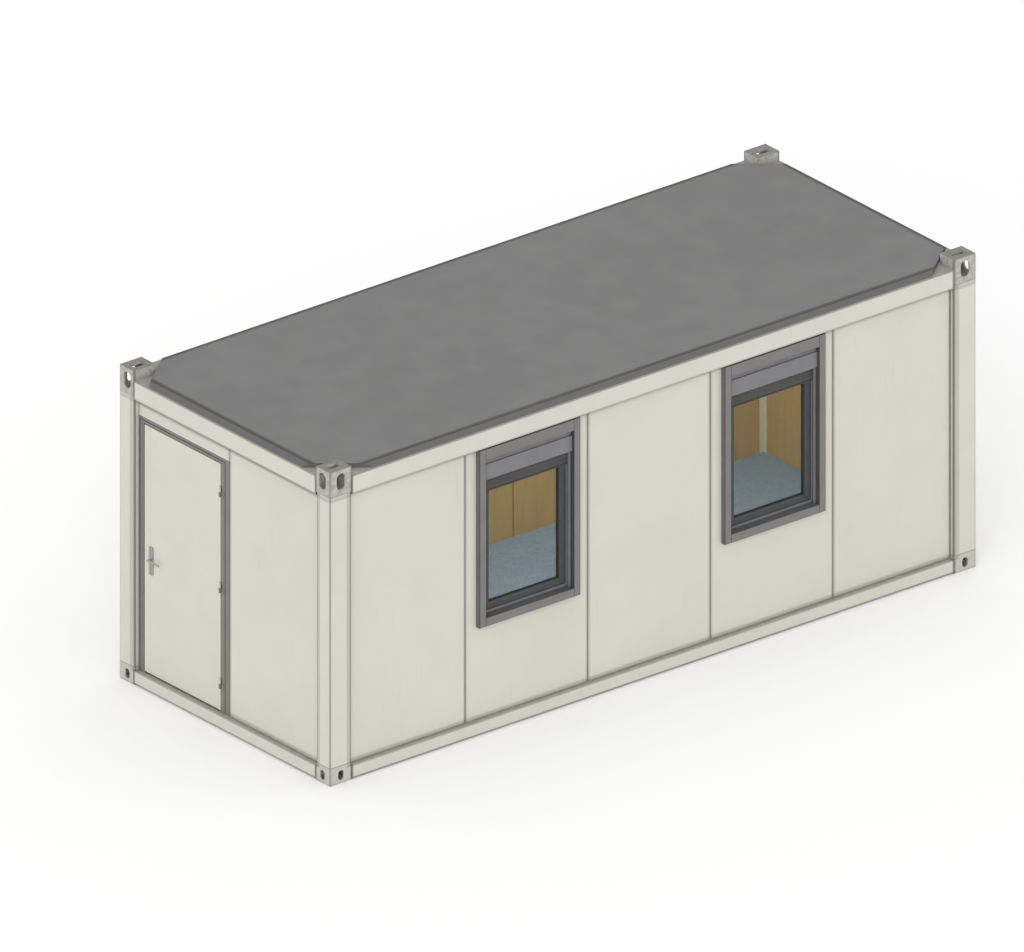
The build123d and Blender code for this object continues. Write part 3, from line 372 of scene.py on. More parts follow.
def coatedRoofSheet():
    look = {"colour": "#777777", "second": "#747474", "dust": "#7d7c78", "rimBandAndFlankShade": "#3b3a38", "flange": "#a5a39c",
            "puddleMm": 520, "rimMm": 42, "rimMost": 0.75, "flankMm": 51, "flankShadeMost": 0.35, "panMm": 3,
            "flangeMm": 6, "flangeMost": 0.7, "grainMm": 4.0}
    roofLow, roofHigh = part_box("roof_sheet")
    flank = look["flankMm"] * mm       # the flat pan ends and its flanks begin this far from the outside
    material, tree, shader, place = startMaterial("coatedRoofSheet", 0.62)
    shader.inputs["Specular IOR Level"].default_value = 0.2
    apart = addNode(tree, "ShaderNodeVectorMath", {"operation": "ABSOLUTE"}, {0: place}).outputs[0]
    ways = addNode(tree, "ShaderNodeSeparateXYZ", {}, {0: apart}).outputs
    rim = None
    for axis, edge in (("X", halfLength - flank), ("Y", halfWidth - flank)):
        near = addNode(tree, "ShaderNodeMapRange",
                       {"From Min": edge - look["rimMm"] * mm, "From Max": edge - 0.4 * look["rimMm"] * mm,
                        "To Min": 0.0, "To Max": look["rimMost"]}, {"Value": ways[axis]}).outputs["Result"]
        if rim is not None:
            near = addNode(tree, "ShaderNodeMath", {"operation": "MAXIMUM"}, {0: rim, 1: near}).outputs[0]
        rim = near
    onTop = addNode(tree, "ShaderNodeMath", {"operation": "GREATER_THAN", 1: roofHigh.z - look["panMm"] * mm},
                    {0: ways["Z"]}).outputs[0]
    rim = addNode(tree, "ShaderNodeMath", {"operation": "MULTIPLY"}, {0: rim, 1: onTop}).outputs[0]
    flange = addNode(tree, "ShaderNodeMath", {"operation": "LESS_THAN", 1: roofLow.z + look["flangeMm"] * mm},
                     {0: ways["Z"]}).outputs[0]
    flange = addNode(tree, "ShaderNodeMath", {"operation": "MULTIPLY", 1: look["flangeMost"]},
                     {0: flange}).outputs[0]
    puddle = cloud(tree, place, look["puddleMm"], 0.0, 1.0, detail=2.0)
    shore = addNode(tree, "ShaderNodeMath", {"operation": "PINGPONG", 1: 0.5}, {0: puddle}).outputs[0]
    shore = addNode(tree, "ShaderNodeMapRange",
                    {"From Min": 0.3, "From Max": 0.5, "To Min": 0.0, "To Max": 0.2},
                    {"Value": shore}).outputs["Result"]
    # painted shade on the sloping flanks
    flankShade = paintedFoldShade(tree, {"from": 0.01, "to": 0.1, "most": look["flankShadeMost"]})
    layCoats(tree, shader, look["colour"], [
        (cloud(tree, place, 900, 0.0, 1.0), look["second"]),
        (shore, look["dust"]),
        (flankShade, look["rimBandAndFlankShade"]),
        (rim, look["rimBandAndFlankShade"]),
        (flange, look["flange"]),
    ])
    tree.links.new(cloud(tree, place, 240, 0.55, 0.72), shader.inputs["Roughness"])
    addRelief(tree, shader, [(cloud(tree, place, 450, 0.0, 1.0, detail=0.0), 0.8),
                             (cloud(tree, place, look["grainMm"], 0.0, 1.0, detail=2.0), 0.06)])
    return material


# Oak foil on chipboard lining: a printed upright grain, satin, a dark line where two boards meet

def oakFoil():
    look = {"ground": "#c19f62", "dark": "#aa8a50", "pore": "#7c6034", "grainMm": 9, "poreMm": 1.6}
    material, tree, shader, place = startMaterial("oakFoil", 0.5)
    shader.inputs["Specular IOR Level"].default_value = 0.3
    figure = cloud(tree, place, look["grainMm"] * 6, 0.0, 1.0, stretch=(1, 1, 0.08), detail=4.0)
    grain = cloud(tree, place, look["grainMm"], 0.0, 1.0, stretch=(1, 1, 0.03), detail=5.0)
    mixed = addNode(tree, "ShaderNodeMath", {"operation": "MULTIPLY"}, {0: figure, 1: grain}).outputs[0]
    pores = cloud(tree, place, look["poreMm"], -2.2, 0.7, stretch=(1, 1, 0.04), detail=2.0)
    pores = addNode(tree, "ShaderNodeMath", {"operation": "MAXIMUM", 1: 0.0}, {0: pores}).outputs[0]
    boards = [{"axis": "X", "at": abs(x), "halfMm": 6, "most": 0.85, "only": {}} for x in jointPlaces[2:]]
    layCoats(tree, shader, look["ground"], [(mixed, look["dark"]), (pores, look["pore"])]
             + [(jointLine(tree, place, board), "#3f2f18") for board in boards])
    tree.links.new(cloud(tree, place, 60, 0.42, 0.56), shader.inputs["Roughness"])
    addRelief(tree, shader, [(grain, 0.05), (pores, 0.1)])
    return material


# Heterogeneous sheet vinyl: blue-grey with darker and paler chips pressed in, worn to a soft gloss

def sheetVinyl():
    look = {"base": "#798ea4", "darkChip": "#5e7389", "paleChip": "#9babb7", "scuff": "#9ba3a8", "chipMm": 5}
    material, tree, shader, place = startMaterial("sheetVinyl", 0.42)
    shader.inputs["Specular IOR Level"].default_value = 0.3
    chips = addNode(tree, "ShaderNodeTexVoronoi", {"Scale": 1 / (look["chipMm"] * mm)}, {"Vector": place})
    pick = addNode(tree, "ShaderNodeSeparateXYZ", {}, {0: chips.outputs["Color"]}).outputs["X"]
    darkChip = addNode(tree, "ShaderNodeMath", {"operation": "GREATER_THAN", 1: 0.8}, {0: pick}).outputs[0]
    paleChip = addNode(tree, "ShaderNodeMath", {"operation": "LESS_THAN", 1: 0.14}, {0: pick}).outputs[0]
    scuffs = cloud(tree, place, 380, -0.2, 0.15, detail=5.0)
    scuffs = addNode(tree, "ShaderNodeMath", {"operation": "MAXIMUM", 1: 0.0}, {0: scuffs}).outputs[0]
    layCoats(tree, shader, look["base"], [(darkChip, look["darkChip"]), (paleChip, look["paleChip"]),
                                          (scuffs, look["scuff"])])
    tree.links.new(cloud(tree, place, 300, 0.34, 0.55, detail=5.0), shader.inputs["Roughness"])
    addRelief(tree, shader, [(cloud(tree, place, 1.5, 0.0, 1.0), 0.04)])
    return material


# Raw chipboard deck: pressed chips of two tones, matt

def chipboard():
    material, tree, shader, place = startMaterial("chipboard", 0.8)
    chips = addNode(tree, "ShaderNodeTexVoronoi", {"Scale": 1 / (9 * mm)}, {"Vector": place})
    pick = addNode(tree, "ShaderNodeSeparateXYZ", {}, {0: chips.outputs["Color"]}).outputs["X"]
    layCoats(tree, shader, "#a98a5e", [(pick, "#8a6b44"), (cloud(tree, place, 140, 0.0, 0.4), "#7a6040")])
    addRelief(tree, shader, [(chips.outputs["Distance"], 0.3)])
    return material


# Hot-dip galvanised sheet: metal with a crystal spangle and a dull grey bloom

def galvanisedSheet():
    material, tree, shader, place = startMaterial("galvanisedSheet", 0.45, metallic=0.9)
    crystals = addNode(tree, "ShaderNodeTexVoronoi", {"Scale": 1 / (11 * mm)}, {"Vector": place})
    pick = addNode(tree, "ShaderNodeSeparateXYZ", {}, {0: crystals.outputs["Color"]}).outputs["X"]
    layCoats(tree, shader, "#b9bdbf", [(pick, "#9a9fa2"), (cloud(tree, place, 160, 0.0, 0.5), "#8c8f8f")])
    rough = addNode(tree, "ShaderNodeMapRange", {"To Min": 0.34, "To Max": 0.58}, {"Value": pick})
    tree.links.new(rough.outputs["Result"], shader.inputs["Roughness"])
    addRelief(tree, shader, [(pick, 0.03)])
    return material


# Extruded plastic and rubber: smooth, with faint die lines along the profile

def extrudedPlastic(look):
    material, tree, shader, place = startMaterial(look["name"], look["roughness"])
    shader.inputs["IOR"].default_value = 1.53
    shader.inputs["Specular IOR Level"].default_value = look["shine"]
    layCoats(tree, shader, look["colour"], [
        (cloud(tree, place, 90, 0.0, 1.0), look["second"]),
        # painted shade: the colour darkens where surfaces meet
        (paintedCornerShade(tree, 12, 0.5), look["dirtAndShade"]),
    ])
    tree.links.new(cloud(tree, place, 45, look["roughness"] - 0.04, look["roughness"] + 0.06),
                   shader.inputs["Roughness"])
    lines = cloud(tree, place, look["lineMm"], 0.0, 1.0, stretch=look["along"], detail=1.0)
    addRelief(tree, shader, [(lines, look["lineDepthMm"])])
    return material


# Foil on the window profiles, embossed with a fine grain: grey on the fixed ones, anthracite on the sash
foil = {"roughness": 0.46, "shine": 0.35, "lineMm": 1.4, "lineDepthMm": 0.03, "along": (1, 1, 0.1)}
windowFoil = extrudedPlastic({
    **foil, "name": "windowFoil", "colour": "#737578", "second": "#6c6e71", "dirtAndShade": "#3a3b3e"})
# the sash's dark tone is its foil, and in part painted shade beside the glass
sashFoil = extrudedPlastic({
    **foil, "name": "sashFoil", "colour": "#494a4d", "second": "#434447", "dirtAndShade": "#222326"})

# Cream PVC angle in the room's corners
creamTrim = extrudedPlastic({
    "name": "creamTrim", "colour": "#dcd6b8", "second": "#d3cdb0", "dirtAndShade": "#8f8b78", "roughness": 0.38,
    "shine": 0.4, "lineMm": 1.0, "lineDepthMm": 0.01, "along": (1, 1, 0.02),
})

# EPDM rubber: near black, matt, with a bloom of grey dust
epdmRubber = extrudedPlastic({
    "name": "epdmRubber", "colour": "#434445", "second": "#4a4b4c", "dirtAndShade": "#29292a", "roughness": 0.7,
    "shine": 0.25, "lineMm": 1.5, "lineDepthMm": 0.05, "along": (1, 1, 1),
})

# Joint sealant: a grey rubbery bead, tooled by hand so a little uneven
jointSealant = extrudedPlastic({
    "name": "jointSealant", "colour": "#8a8880", "second": "#7e7b73", "dirtAndShade": "#5c5a54", "roughness": 0.66,
    "shine": 0.25, "lineMm": 7.0, "lineDepthMm": 0.25, "along": (1, 1, 1),
})


# Satin metal: brushed or plated, a metal keeps the default IOR

def satinMetal(look):
    material, tree, shader, place = startMaterial(look["name"], look["roughness"], metallic=1.0)
    layCoats(tree, shader, look["colour"], [
        (cloud(tree, place, 30, 0.0, 1.0), look["second"]),
        # painted shade: the colour darkens where surfaces meet
        (paintedCornerShade(tree, 6, 0.5), look["dirtAndShade"]),
    ])
    brushing = cloud(tree, place, look["lineMm"], 0.0, 1.0, stretch=look["along"], detail=2.0)
    rough = addNode(tree, "ShaderNodeMapRange", {"To Min": look["roughness"] - 0.05,
                                                 "To Max": look["roughness"] + 0.1}, {"Value": brushing})
    tree.links.new(rough.outputs["Result"], shader.inputs["Roughness"])
    addRelief(tree, shader, [(brushing, look["lineDepthMm"])])
    return material


# Satin anodised aluminium of the lever and plates
anodisedAluminium = satinMetal({
    "name": "anodisedAluminium", "colour": "#b9b8b4", "second": "#adaca9", "dirtAndShade": "#4c4b49",
    "roughness": 0.38, "lineMm": 0.8, "lineDepthMm": 0.01, "along": (1, 1, 0.05),
})

# Zinc plated steel of the screws
zincPlate = satinMetal({
    "name": "zincPlate", "colour": "#a7a8a6", "second": "#8f908c", "dirtAndShade": "#44443f", "roughness": 0.42,
    "lineMm": 2.0, "lineDepthMm": 0.01, "along": (1, 1, 1),
})

# Nickel plated brass of the lock cylinder
nickelBrass = satinMetal({
    "name": "nickelBrass", "colour": "#c2bda8", "second": "#b3ad98", "dirtAndShade": "#3f3c31", "roughness": 0.3,
    "lineMm": 1.0, "lineDepthMm": 0.005, "along": (1, 1, 1),
})


# Float glass: clear, reflecting less than bare glass so that the room shows as it does in the picture, and
# letting lamps through to the room

def floatGlass():
    material, tree, shader, place = startMaterial("floatGlass", 0.0)
    shader.inputs["Base Color"].default_value = toLinear("#f6faf8")
    shader.inputs["Transmission Weight"].default_value = 1.0
    shader.inputs["IOR"].default_value = 1.2
    addRelief(tree, shader, [(cloud(tree, place, 260, 0.0, 1.0, detail=0.0), 0.05)])
    path = addNode(tree, "ShaderNodeLightPath")
    clear = addNode(tree, "ShaderNodeBsdfTransparent", {"Color": toLinear("#f4f9f8")})
    both = addNode(tree, "ShaderNodeMixShader", {}, {
        0: path.outputs["Is Shadow Ray"], 1: shader.outputs[0], 2: clear.outputs[0]})
    tree.links.new(both.outputs[0], tree.nodes["Material Output"].inputs["Surface"])
    return material


finishOfSlot = {
    "frame_paint": framePaint,
    "panel_paint": panelCoating,
    "roof_coating": coatedRoofSheet(),
    "galvanised": galvanisedSheet(),
    "deck_board": chipboard(),
    "floor_vinyl": sheetVinyl(),
    "ceiling_coating": ceilingCoating,
    "lining_wood": oakFoil(),
    "trim_plastic": creamTrim,
    "surround_grey": surroundPowder,
    "shutter_grey": shutterPowder,
    "curtain_grey": slatLacquer,
    "window_frame_plastic": windowFoil,
    "pane_glass": floatGlass(),
    "door_frame_grey": doorFramePaint,
    "door_paint": doorSkin,
    "handle_metal": anodisedAluminium,
    "hinge_steel": doorFramePaint,      # each half of a hinge is painted over with what it is screwed to
}
finishOfNode = {"window_1_sash": sashFoil, "window_2_sash": sashFoil, "door_leaf_hinges": doorSkin}
for part in frame["record"]["subparts"]:
    node = frame["nodes"][part["node"]]
    node.data.materials.clear()
    node.data.materials.append(finishOfNode.get(part["node"], finishOfSlot[part["material_slot"]]))


# Modelling helpers

def deselectAll():
    if bpy.context.object is not None and bpy.context.object.mode != "OBJECT":
        bpy.ops.object.mode_set(mode="OBJECT")
    bpy.ops.object.select_all(action="DESELECT")


def makeActive(piece):
    deselectAll()
    piece.select_set(True)
    bpy.context.view_layer.objects.active = piece


def addBar(low, high):  # a box between two corners, the start of every strip and block
    deselectAll()
    bpy.ops.mesh.primitive_cube_add(size=1, location=[(a + b) / 2 for a, b in zip(low, high)])
    bar = bpy.context.object
    bar.scale = [b - a for a, b in zip(low, high)]
    bpy.ops.object.transform_apply(location=True, rotation=True, scale=True)
    return bar


def selectFaces(piece, wanted):  # wanted takes a face's centre and normal
    makeActive(piece)
    bpy.ops.object.mode_set(mode="EDIT")
    bpy.ops.mesh.select_mode(type="FACE")
    bpy.ops.mesh.select_all(action="DESELECT")
    bpy.ops.object.mode_set(mode="OBJECT")
    for face in piece.data.polygons:
        face.select = bool(wanted(face.center, face.normal))
    bpy.ops.object.mode_set(mode="EDIT")


def selectEdges(piece, wanted):  # wanted takes the edge's two ends
    makeActive(piece)
    bpy.ops.object.mode_set(mode="EDIT")
    bpy.ops.mesh.select_mode(type="EDGE")
    bpy.ops.mesh.select_all(action="DESELECT")
    bpy.ops.object.mode_set(mode="OBJECT")
    spots = piece.data.vertices
    for edge in piece.data.edges:
        ends = [spots[i].co for i in edge.vertices]
        edge.select = bool(wanted(*ends))
    bpy.ops.object.mode_set(mode="EDIT")


def bevelEdges(piece, wanted, width, segments=2):
    selectEdges(piece, wanted)
    bpy.ops.mesh.bevel(offset=width, segments=segments, affect="EDGES")
    bpy.ops.object.mode_set(mode="OBJECT")


def copyTo(piece, offsets):  # copies with meshes of their own, moved by each offset
    copies = []
    for offset in offsets:
        twin = piece.copy()
        twin.data = piece.data.copy()
        bpy.context.scene.collection.objects.link(twin)
        twin.location = offset
        copies.append(twin)
    return copies


def joinPieces(pieces, name):
    deselectAll()
    for piece in pieces:
        piece.select_set(True)
    bpy.context.view_layer.objects.active = pieces[0]
    if len(pieces) > 1:
        bpy.ops.object.join()
    bpy.ops.object.transform_apply(location=True, rotation=True, scale=True)
    joined = bpy.context.object
    joined.name = name
    return joined


def finishPiece(piece, body, material):
    makeActive(piece)
    bpy.ops.object.shade_smooth_by_angle(angle=math.radians(35))
    piece.data.materials.clear()
    piece.data.materials.append(material)
    piece.data.name = piece.name
    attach(piece, body)
    return piece


def along(first, second, axis, tolerance=1e-5):  # True for an edge that runs along an axis
    step = second - first
    return all(abs(step[i]) < tolerance for i in range(3) if i != axis)


def addRing(low, high, width, depth, outward):
    # a rectangular ring in the plane of the window wall: low and high are its outer corners, and it starts at
    # the y of low and reaches out by its depth
    deselectAll()
    bpy.ops.mesh.primitive_plane_add(size=1, location=((low[0] + high[0]) / 2, low[1], (low[2] + high[2]) / 2),
                                     rotation=(math.radians(90), 0, 0))
    ring = bpy.context.object
    ring.scale = (high[0] - low[0], high[2] - low[2], 1)
    bpy.ops.object.transform_apply(location=True, rotation=True, scale=True)
    bpy.ops.object.mode_set(mode="EDIT")
    bpy.ops.mesh.select_all(action="SELECT")
    bpy.ops.mesh.inset(thickness=width)
    bpy.ops.mesh.delete(type="FACE")
    bpy.ops.mesh.select_all(action="SELECT")
    bpy.ops.mesh.extrude_region_move(TRANSFORM_OT_translate={"value": (0, outward * depth, 0)})
    bpy.ops.mesh.select_all(action="SELECT")
    bpy.ops.mesh.normals_make_consistent(inside=False)
    bpy.ops.object.mode_set(mode="OBJECT")
    return ring


def addHead(spot, radius, proud, outward, sides=24):
    # a turned head that stands on a face across x, its rim rounded and its middle sunk
    deselectAll()
    bpy.ops.mesh.primitive_cylinder_add(vertices=sides, radius=radius, depth=proud,
                                        location=(spot[0] + outward * proud / 2, spot[1], spot[2]),
                                        rotation=(0, math.radians(90), 0))
    head = bpy.context.object
    bpy.ops.object.transform_apply(location=True, rotation=True, scale=True)
    rim = spot[0] + outward * proud
    bevelEdges(head, lambda a, b: abs(a.x - rim) < 1e-6 and abs(b.x - rim) < 1e-6, 0.3 * proud, 2)
    selectFaces(head, lambda centre, normal: normal.x * outward > 0.99)
    bpy.ops.mesh.inset(thickness=0.35 * radius)
    bpy.ops.mesh.extrude_region_move(TRANSFORM_OT_translate={"value": (-outward * 0.45 * proud, 0, 0)})
    bpy.ops.object.mode_set(mode="OBJECT")
    return head


# Seals in the grooves between wall panels

jointSeal = inMetres({"groove": 8.0, "footGap": 0.2, "sunk": 3.0, "faceWidth": 9.6, "footWidth": 1.6,
                      "round": 2.2})


def grooveSeal(spot, depthAxis, outward):
    # an upright wedge of sealant; spot is on the wall's face at the joint
    widthAxis = 1 - depthAxis
    face = spot[depthAxis] - outward * jointSeal["sunk"]
    foot = spot[depthAxis] - outward * (jointSeal["groove"] - jointSeal["footGap"])
    low, high = [0, 0, wallLow], [0, 0, wallHigh]
    low[depthAxis], high[depthAxis] = min(face, foot), max(face, foot)
    low[widthAxis] = spot[widthAxis] - jointSeal["faceWidth"] / 2
    high[widthAxis] = spot[widthAxis] + jointSeal["faceWidth"] / 2
    seal = addBar(low, high)
    selectFaces(seal, lambda centre, normal: normal[depthAxis] * outward < -0.9)
    narrowing = [1, 1, 1]
    narrowing[widthAxis] = jointSeal["footWidth"] / jointSeal["faceWidth"]
    bpy.ops.transform.resize(value=narrowing)
    bpy.ops.object.mode_set(mode="OBJECT")
    bevelEdges(seal, lambda a, b: along(a, b, 2) and abs(a[depthAxis] - face) < 1e-5, jointSeal["round"], 3)
    return seal


seals = [grooveSeal((x, face), 1, side) for side, face in ((-1, frontFace), (1, backFace)) for x in jointPlaces]
seals.append(grooveSeal((farEndFace, 0), 0, 1))
finishPiece(joinPieces(seals, "panel_joint_seals"), "container", jointSealant)
print("scene: panel seals")


# Fillets of sealant where the walls meet the frame

bead = {"legMm": 9.0, "roundShare": 0.9, "roundSegments": 3}


def cornerBead(start, end, inward, rise):
    # a bead along a level or upright inner corner, its free edge rounded off; its legs run inward and rise
    leg = bead["legMm"] * mm
    cut = leg * bead["roundShare"]
    reach = [(a, b, a + leg * i, a + leg * r, b + leg * i, b + leg * r)
             for a, b, i, r in zip(start, end, inward, rise)]
    strip = addBar([min(places) for places in reach], [max(places) for places in reach])
    corner, ways = Vector(start), [Vector(inward), Vector(rise)]
    runAxis = [abs(e - s) > 1e-6 for s, e in zip(start, end)].index(True)
    bevelEdges(strip, lambda a, b: along(a, b, runAxis) and all((a - corner).dot(way) > cut for way in ways),
               cut, bead["roundSegments"])
    return strip


runs = []      # the start, the end and the two legs' ways of every bead
for side, face in ((-1, frontFace), (1, backFace)):
    for level, up in ((wallLow, 1), (wallHigh, -1)):
        runs.append(((-postSide, face, level), (postSide, face, level), (0, side, 0), (0, 0, up)))
    for end in (-1, 1):
        x = end * postSide
        runs.append(((x, face, wallLow), (x, face, wallHigh), (0, side, 0), (-end, 0, 0)))
for level, up in ((wallLow, 1), (wallHigh, -1)):
    runs.append(((farEndFace, -postEnd, level), (farEndFace, postEnd, level), (1, 0, 0), (0, 0, up)))
for side in (-1, 1):
    y = side * postEnd
    runs.append(((farEndFace, y, wallLow), (farEndFace, y, wallHigh), (1, 0, 0), (0, -side, 0)))
x, y = doorEndFace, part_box("door_frame")[0].y
runs += [((x, -postEnd, wallHigh), (x, postEnd, wallHigh), (-1, 0, 0), (0, 0, -1)),
         ((x, -postEnd, wallLow), (x, y, wallLow), (-1, 0, 0), (0, 0, 1)),
         ((x, -postEnd, wallLow), (x, -postEnd, wallHigh), (-1, 0, 0), (0, 1, 0))]
beads = [cornerBead(*run) for run in runs]
finishPiece(joinPieces(beads, "wall_edge_beads"), "container", jointSealant)
print("scene: wall beads")


# Rubber round each pane, and the rails that the shutter runs in

window = inMetres({
    "gasket": 5.0, "gasketDepth": 4.0, "gasketRound": 1.2, "paneGap": 0.3,
    "paneBite": 11.7,      # the sash's face covers this much of the pane on every side
    "guideWidth": 26.0, "guideFront": 38.0, "guideBack": 49.5, "guideGroove": 8.0, "guideEdge": 3.0,
    "guideRound": 2.0, "guideGap": 0.3, "boxGap": 0.5, "revealFoot": 65.0})

for number, middle in zip((1, 2), windowMiddles):
    low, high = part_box(f"window_{number}_glass")
    bite = window["paneBite"]
    rings = [addRing((low.x + bite, y, low.z + bite), (high.x - bite, y, high.z - bite), window["gasket"],
                     window["gasketDepth"], outward)
             for y, outward in ((low.y - window["paneGap"], -1), (high.y + window["paneGap"], 1))]
    gasket = joinPieces(rings, f"window_{number}_glazing_gasket")
    bevelEdges(gasket, lambda a, b: abs(a.y - b.y) < 1e-6 and (b - a).length > 0.3, window["gasketRound"], 2)
    finishPiece(gasket, "container", epdmRubber)

    revealBottom = surrounds[number - 1][0].z + window["revealFoot"]
    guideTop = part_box(f"window_{number}_shutter_box")[0].z - window["boxGap"]
    front, back = window["guideFront"] - halfWidth, window["guideBack"] - halfWidth
    guides = []
    for side in (-1, 1):
        outer = middle + side * (revealHalf - window["guideGap"])
        inner = middle + side * (revealHalf - window["guideWidth"])
        guide = addBar((min(outer, inner), front, revealBottom + mm), (max(outer, inner), back, guideTop))
        selectFaces(guide, lambda centre, normal: normal.y > 0.9)
        bpy.ops.mesh.inset(thickness=window["guideEdge"])
        bpy.ops.transform.translate(value=(0, -window["guideGroove"], 0))
        bpy.ops.object.mode_set(mode="OBJECT")
        bevelEdges(guide, lambda a, b: along(a, b, 2) and min(a.y, b.y) < front + mm, window["guideRound"], 2)
        guides.append(guide)
    finishPiece(joinPieces(guides, f"window_{number}_shutter_guides"), "container", windowFoil)
print("scene: window trims")


# Door: sealing strips, lock and screws

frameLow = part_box("door_frame")[0]
leafLow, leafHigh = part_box("door_leaf")
plateLow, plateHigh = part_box("door_handle_plates")
door = inMetres({
    "offFace": 0.05,       # what keeps a strip or plate clear of the face that it lies on
    "stripWidth": 7.0, "stripProud": 2.2, "stripRound": 2.0, "stripPlaces": (52.0, 1036.0), "stripHead": 2137.0,
    "stripFoot": 8.0, "stopInner": (122.5, 968.5), "stopHead": 2089.0, "stopGap": 6.0, "gasketWidth": 12.0,
    "gasketDepth": 5.0, "gasketRound": 3.0, "spindleAcross": 904.5, "cylinderBelowSpindle": 72.0,
    "cylinderRadius": 8.5, "cylinderProud": 2.0, "webHalf": 5.0, "webReach": 24.5, "webRound": 4.6,
    "keyHalf": (1.1, 4.5), "keyRound": 0.9,
    "plateScrewRadius": 3.4, "plateScrewProud": 1.2, "plateScrewInset": 14.0,
    "hingeScrewRadius": 3.6, "hingeScrewProud": 1.3, "hingeScrewInset": 11.0, "hingeScrewsApart": 44.0,
    "hingeHalf": 41.0, "flag": 3.0, "faceplate": (20.0, 1.4, 235.0), "faceplateRound": 9.0,
    "latch": (12.0, 2.6, 18.0), "latchRound": 2.2, "leafGap": 8.0,
    "strike": (22.0, 0.8, 190.0), "strikeRound": 5.0, "strikeRim": 6.0, "strikeSink": 0.5})

# a rubber strip let into the middle of each face of the frame
half, near, far, head = door["stripWidth"] / 2, *door["stripPlaces"], door["stripHead"]
front, back = frameLow.x - door["stripProud"], frameLow.x - door["offFace"]
strips = [addBar((front, y - half, frameLow.z + door["stripFoot"]), (back, y + half, head - half))
          for y in (near, far)]
strips.append(addBar((front, near - half, head - half), (back, far + half, head + half)))
for strip in strips:
    runAxis = 2 if strip.dimensions.z > 0.5 else 1
    bevelEdges(strip, lambda a, b: along(a, b, runAxis) and a.x < frameLow.x - mm, door["stripRound"], 3)
finishPiece(joinPieces(strips, "door_frame_strip"), "container", epdmRubber)

# the gasket that the leaf closes on, along both jambs and the head of the stop
gaskets = []
width, near, far, head = door["gasketWidth"], *door["stopInner"], door["stopHead"]
stop = leafHigh.x + door["stopGap"]
for low, high in (((near - width, leafLow.z), (near, head)), ((far, leafLow.z), (far + width, head)),
                  ((near - width, head), (far + width, head + width))):
    gasket = addBar((stop - door["gasketDepth"], *low), (stop - door["offFace"], *high))
    runAxis = 2 if gasket.dimensions.z > 0.5 else 1
    bevelEdges(gasket, lambda a, b: along(a, b, runAxis) and a.x < stop - 2 * mm, door["gasketRound"], 3)
    gaskets.append(gasket)
finishPiece(joinPieces(gaskets, "door_stop_gasket"), "container", epdmRubber)

# a profile cylinder on both plates: a round plug over a narrow web, a raised bar in the plug for its keyway
spindleY, radius, proud = door["spindleAcross"], door["cylinderRadius"], door["cylinderProud"]
spindleZ = (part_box("door_lever")[0].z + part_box("door_lever")[1].z) / 2
cylinderZ = spindleZ - door["cylinderBelowSpindle"]
keyWide, keyTall = door["keyHalf"]
locks = []
for plateFace, outward in ((plateLow.x, -1), (plateHigh.x, 1)):
    plug = addHead((plateFace, spindleY, cylinderZ), radius, proud, outward, sides=40)
    ends = sorted((plateFace, plateFace + outward * 0.8 * proud))
    web = addBar((ends[0], spindleY - door["webHalf"], cylinderZ - door["webReach"]),
                 (ends[1], spindleY + door["webHalf"], cylinderZ - radius * 0.8))
    bevelEdges(web, lambda a, b: along(a, b, 0) and a.z < cylinderZ - 20 * mm, door["webRound"], 5)
    ends = sorted((plateFace + outward * 0.5 * proud, plateFace + outward * 0.75 * proud))
    bridge = addBar((ends[0], spindleY - keyWide, cylinderZ - keyTall),
                    (ends[1], spindleY + keyWide, cylinderZ + keyTall))
    bevelEdges(bridge, lambda a, b: along(a, b, 0), door["keyRound"], 3)
    locks += [plug, web, bridge]
finishPiece(joinPieces(locks, "door_lock_cylinder"), "door", nickelBrass)

# screws at the top and bottom of both plates
inset = door["plateScrewInset"]
plateScrews = [addHead((plateFace, spindleY, z), door["plateScrewRadius"], door["plateScrewProud"], outward)
               for plateFace, outward in ((plateLow.x, -1), (plateHigh.x, 1))
               for z in (plateLow.z + inset, plateHigh.z - inset)]
finishPiece(joinPieces(plateScrews, "door_plate_screws"), "door", zincPlate)

# two screws in each flag of the three hinges
frameFlags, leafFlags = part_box("door_frame_hinges"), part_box("door_leaf_hinges")
half, inset, apart = door["hingeHalf"], door["hingeScrewInset"], door["hingeScrewsApart"]
hingeMiddles = [frameFlags[0].z + half, (frameFlags[0].z + frameFlags[1].z) / 2, frameFlags[1].z - half]
for name, body, y, paint in (("door_frame_hinge_screws", "container", frameFlags[0].y + inset, doorFramePaint),
                             ("door_leaf_hinge_screws", "door", leafFlags[1].y - inset, doorSkin)):
    screw = addHead((frameLow.x - door["flag"], y, hingeMiddles[0] - apart / 2), door["hingeScrewRadius"],
                    door["hingeScrewProud"], -1)
    offsets = [(0, 0, z - hingeMiddles[0] + up) for z in hingeMiddles for up in (0, apart)]
    finishPiece(joinPieces([screw] + copyTo(screw, offsets[1:]), name), body, paint)

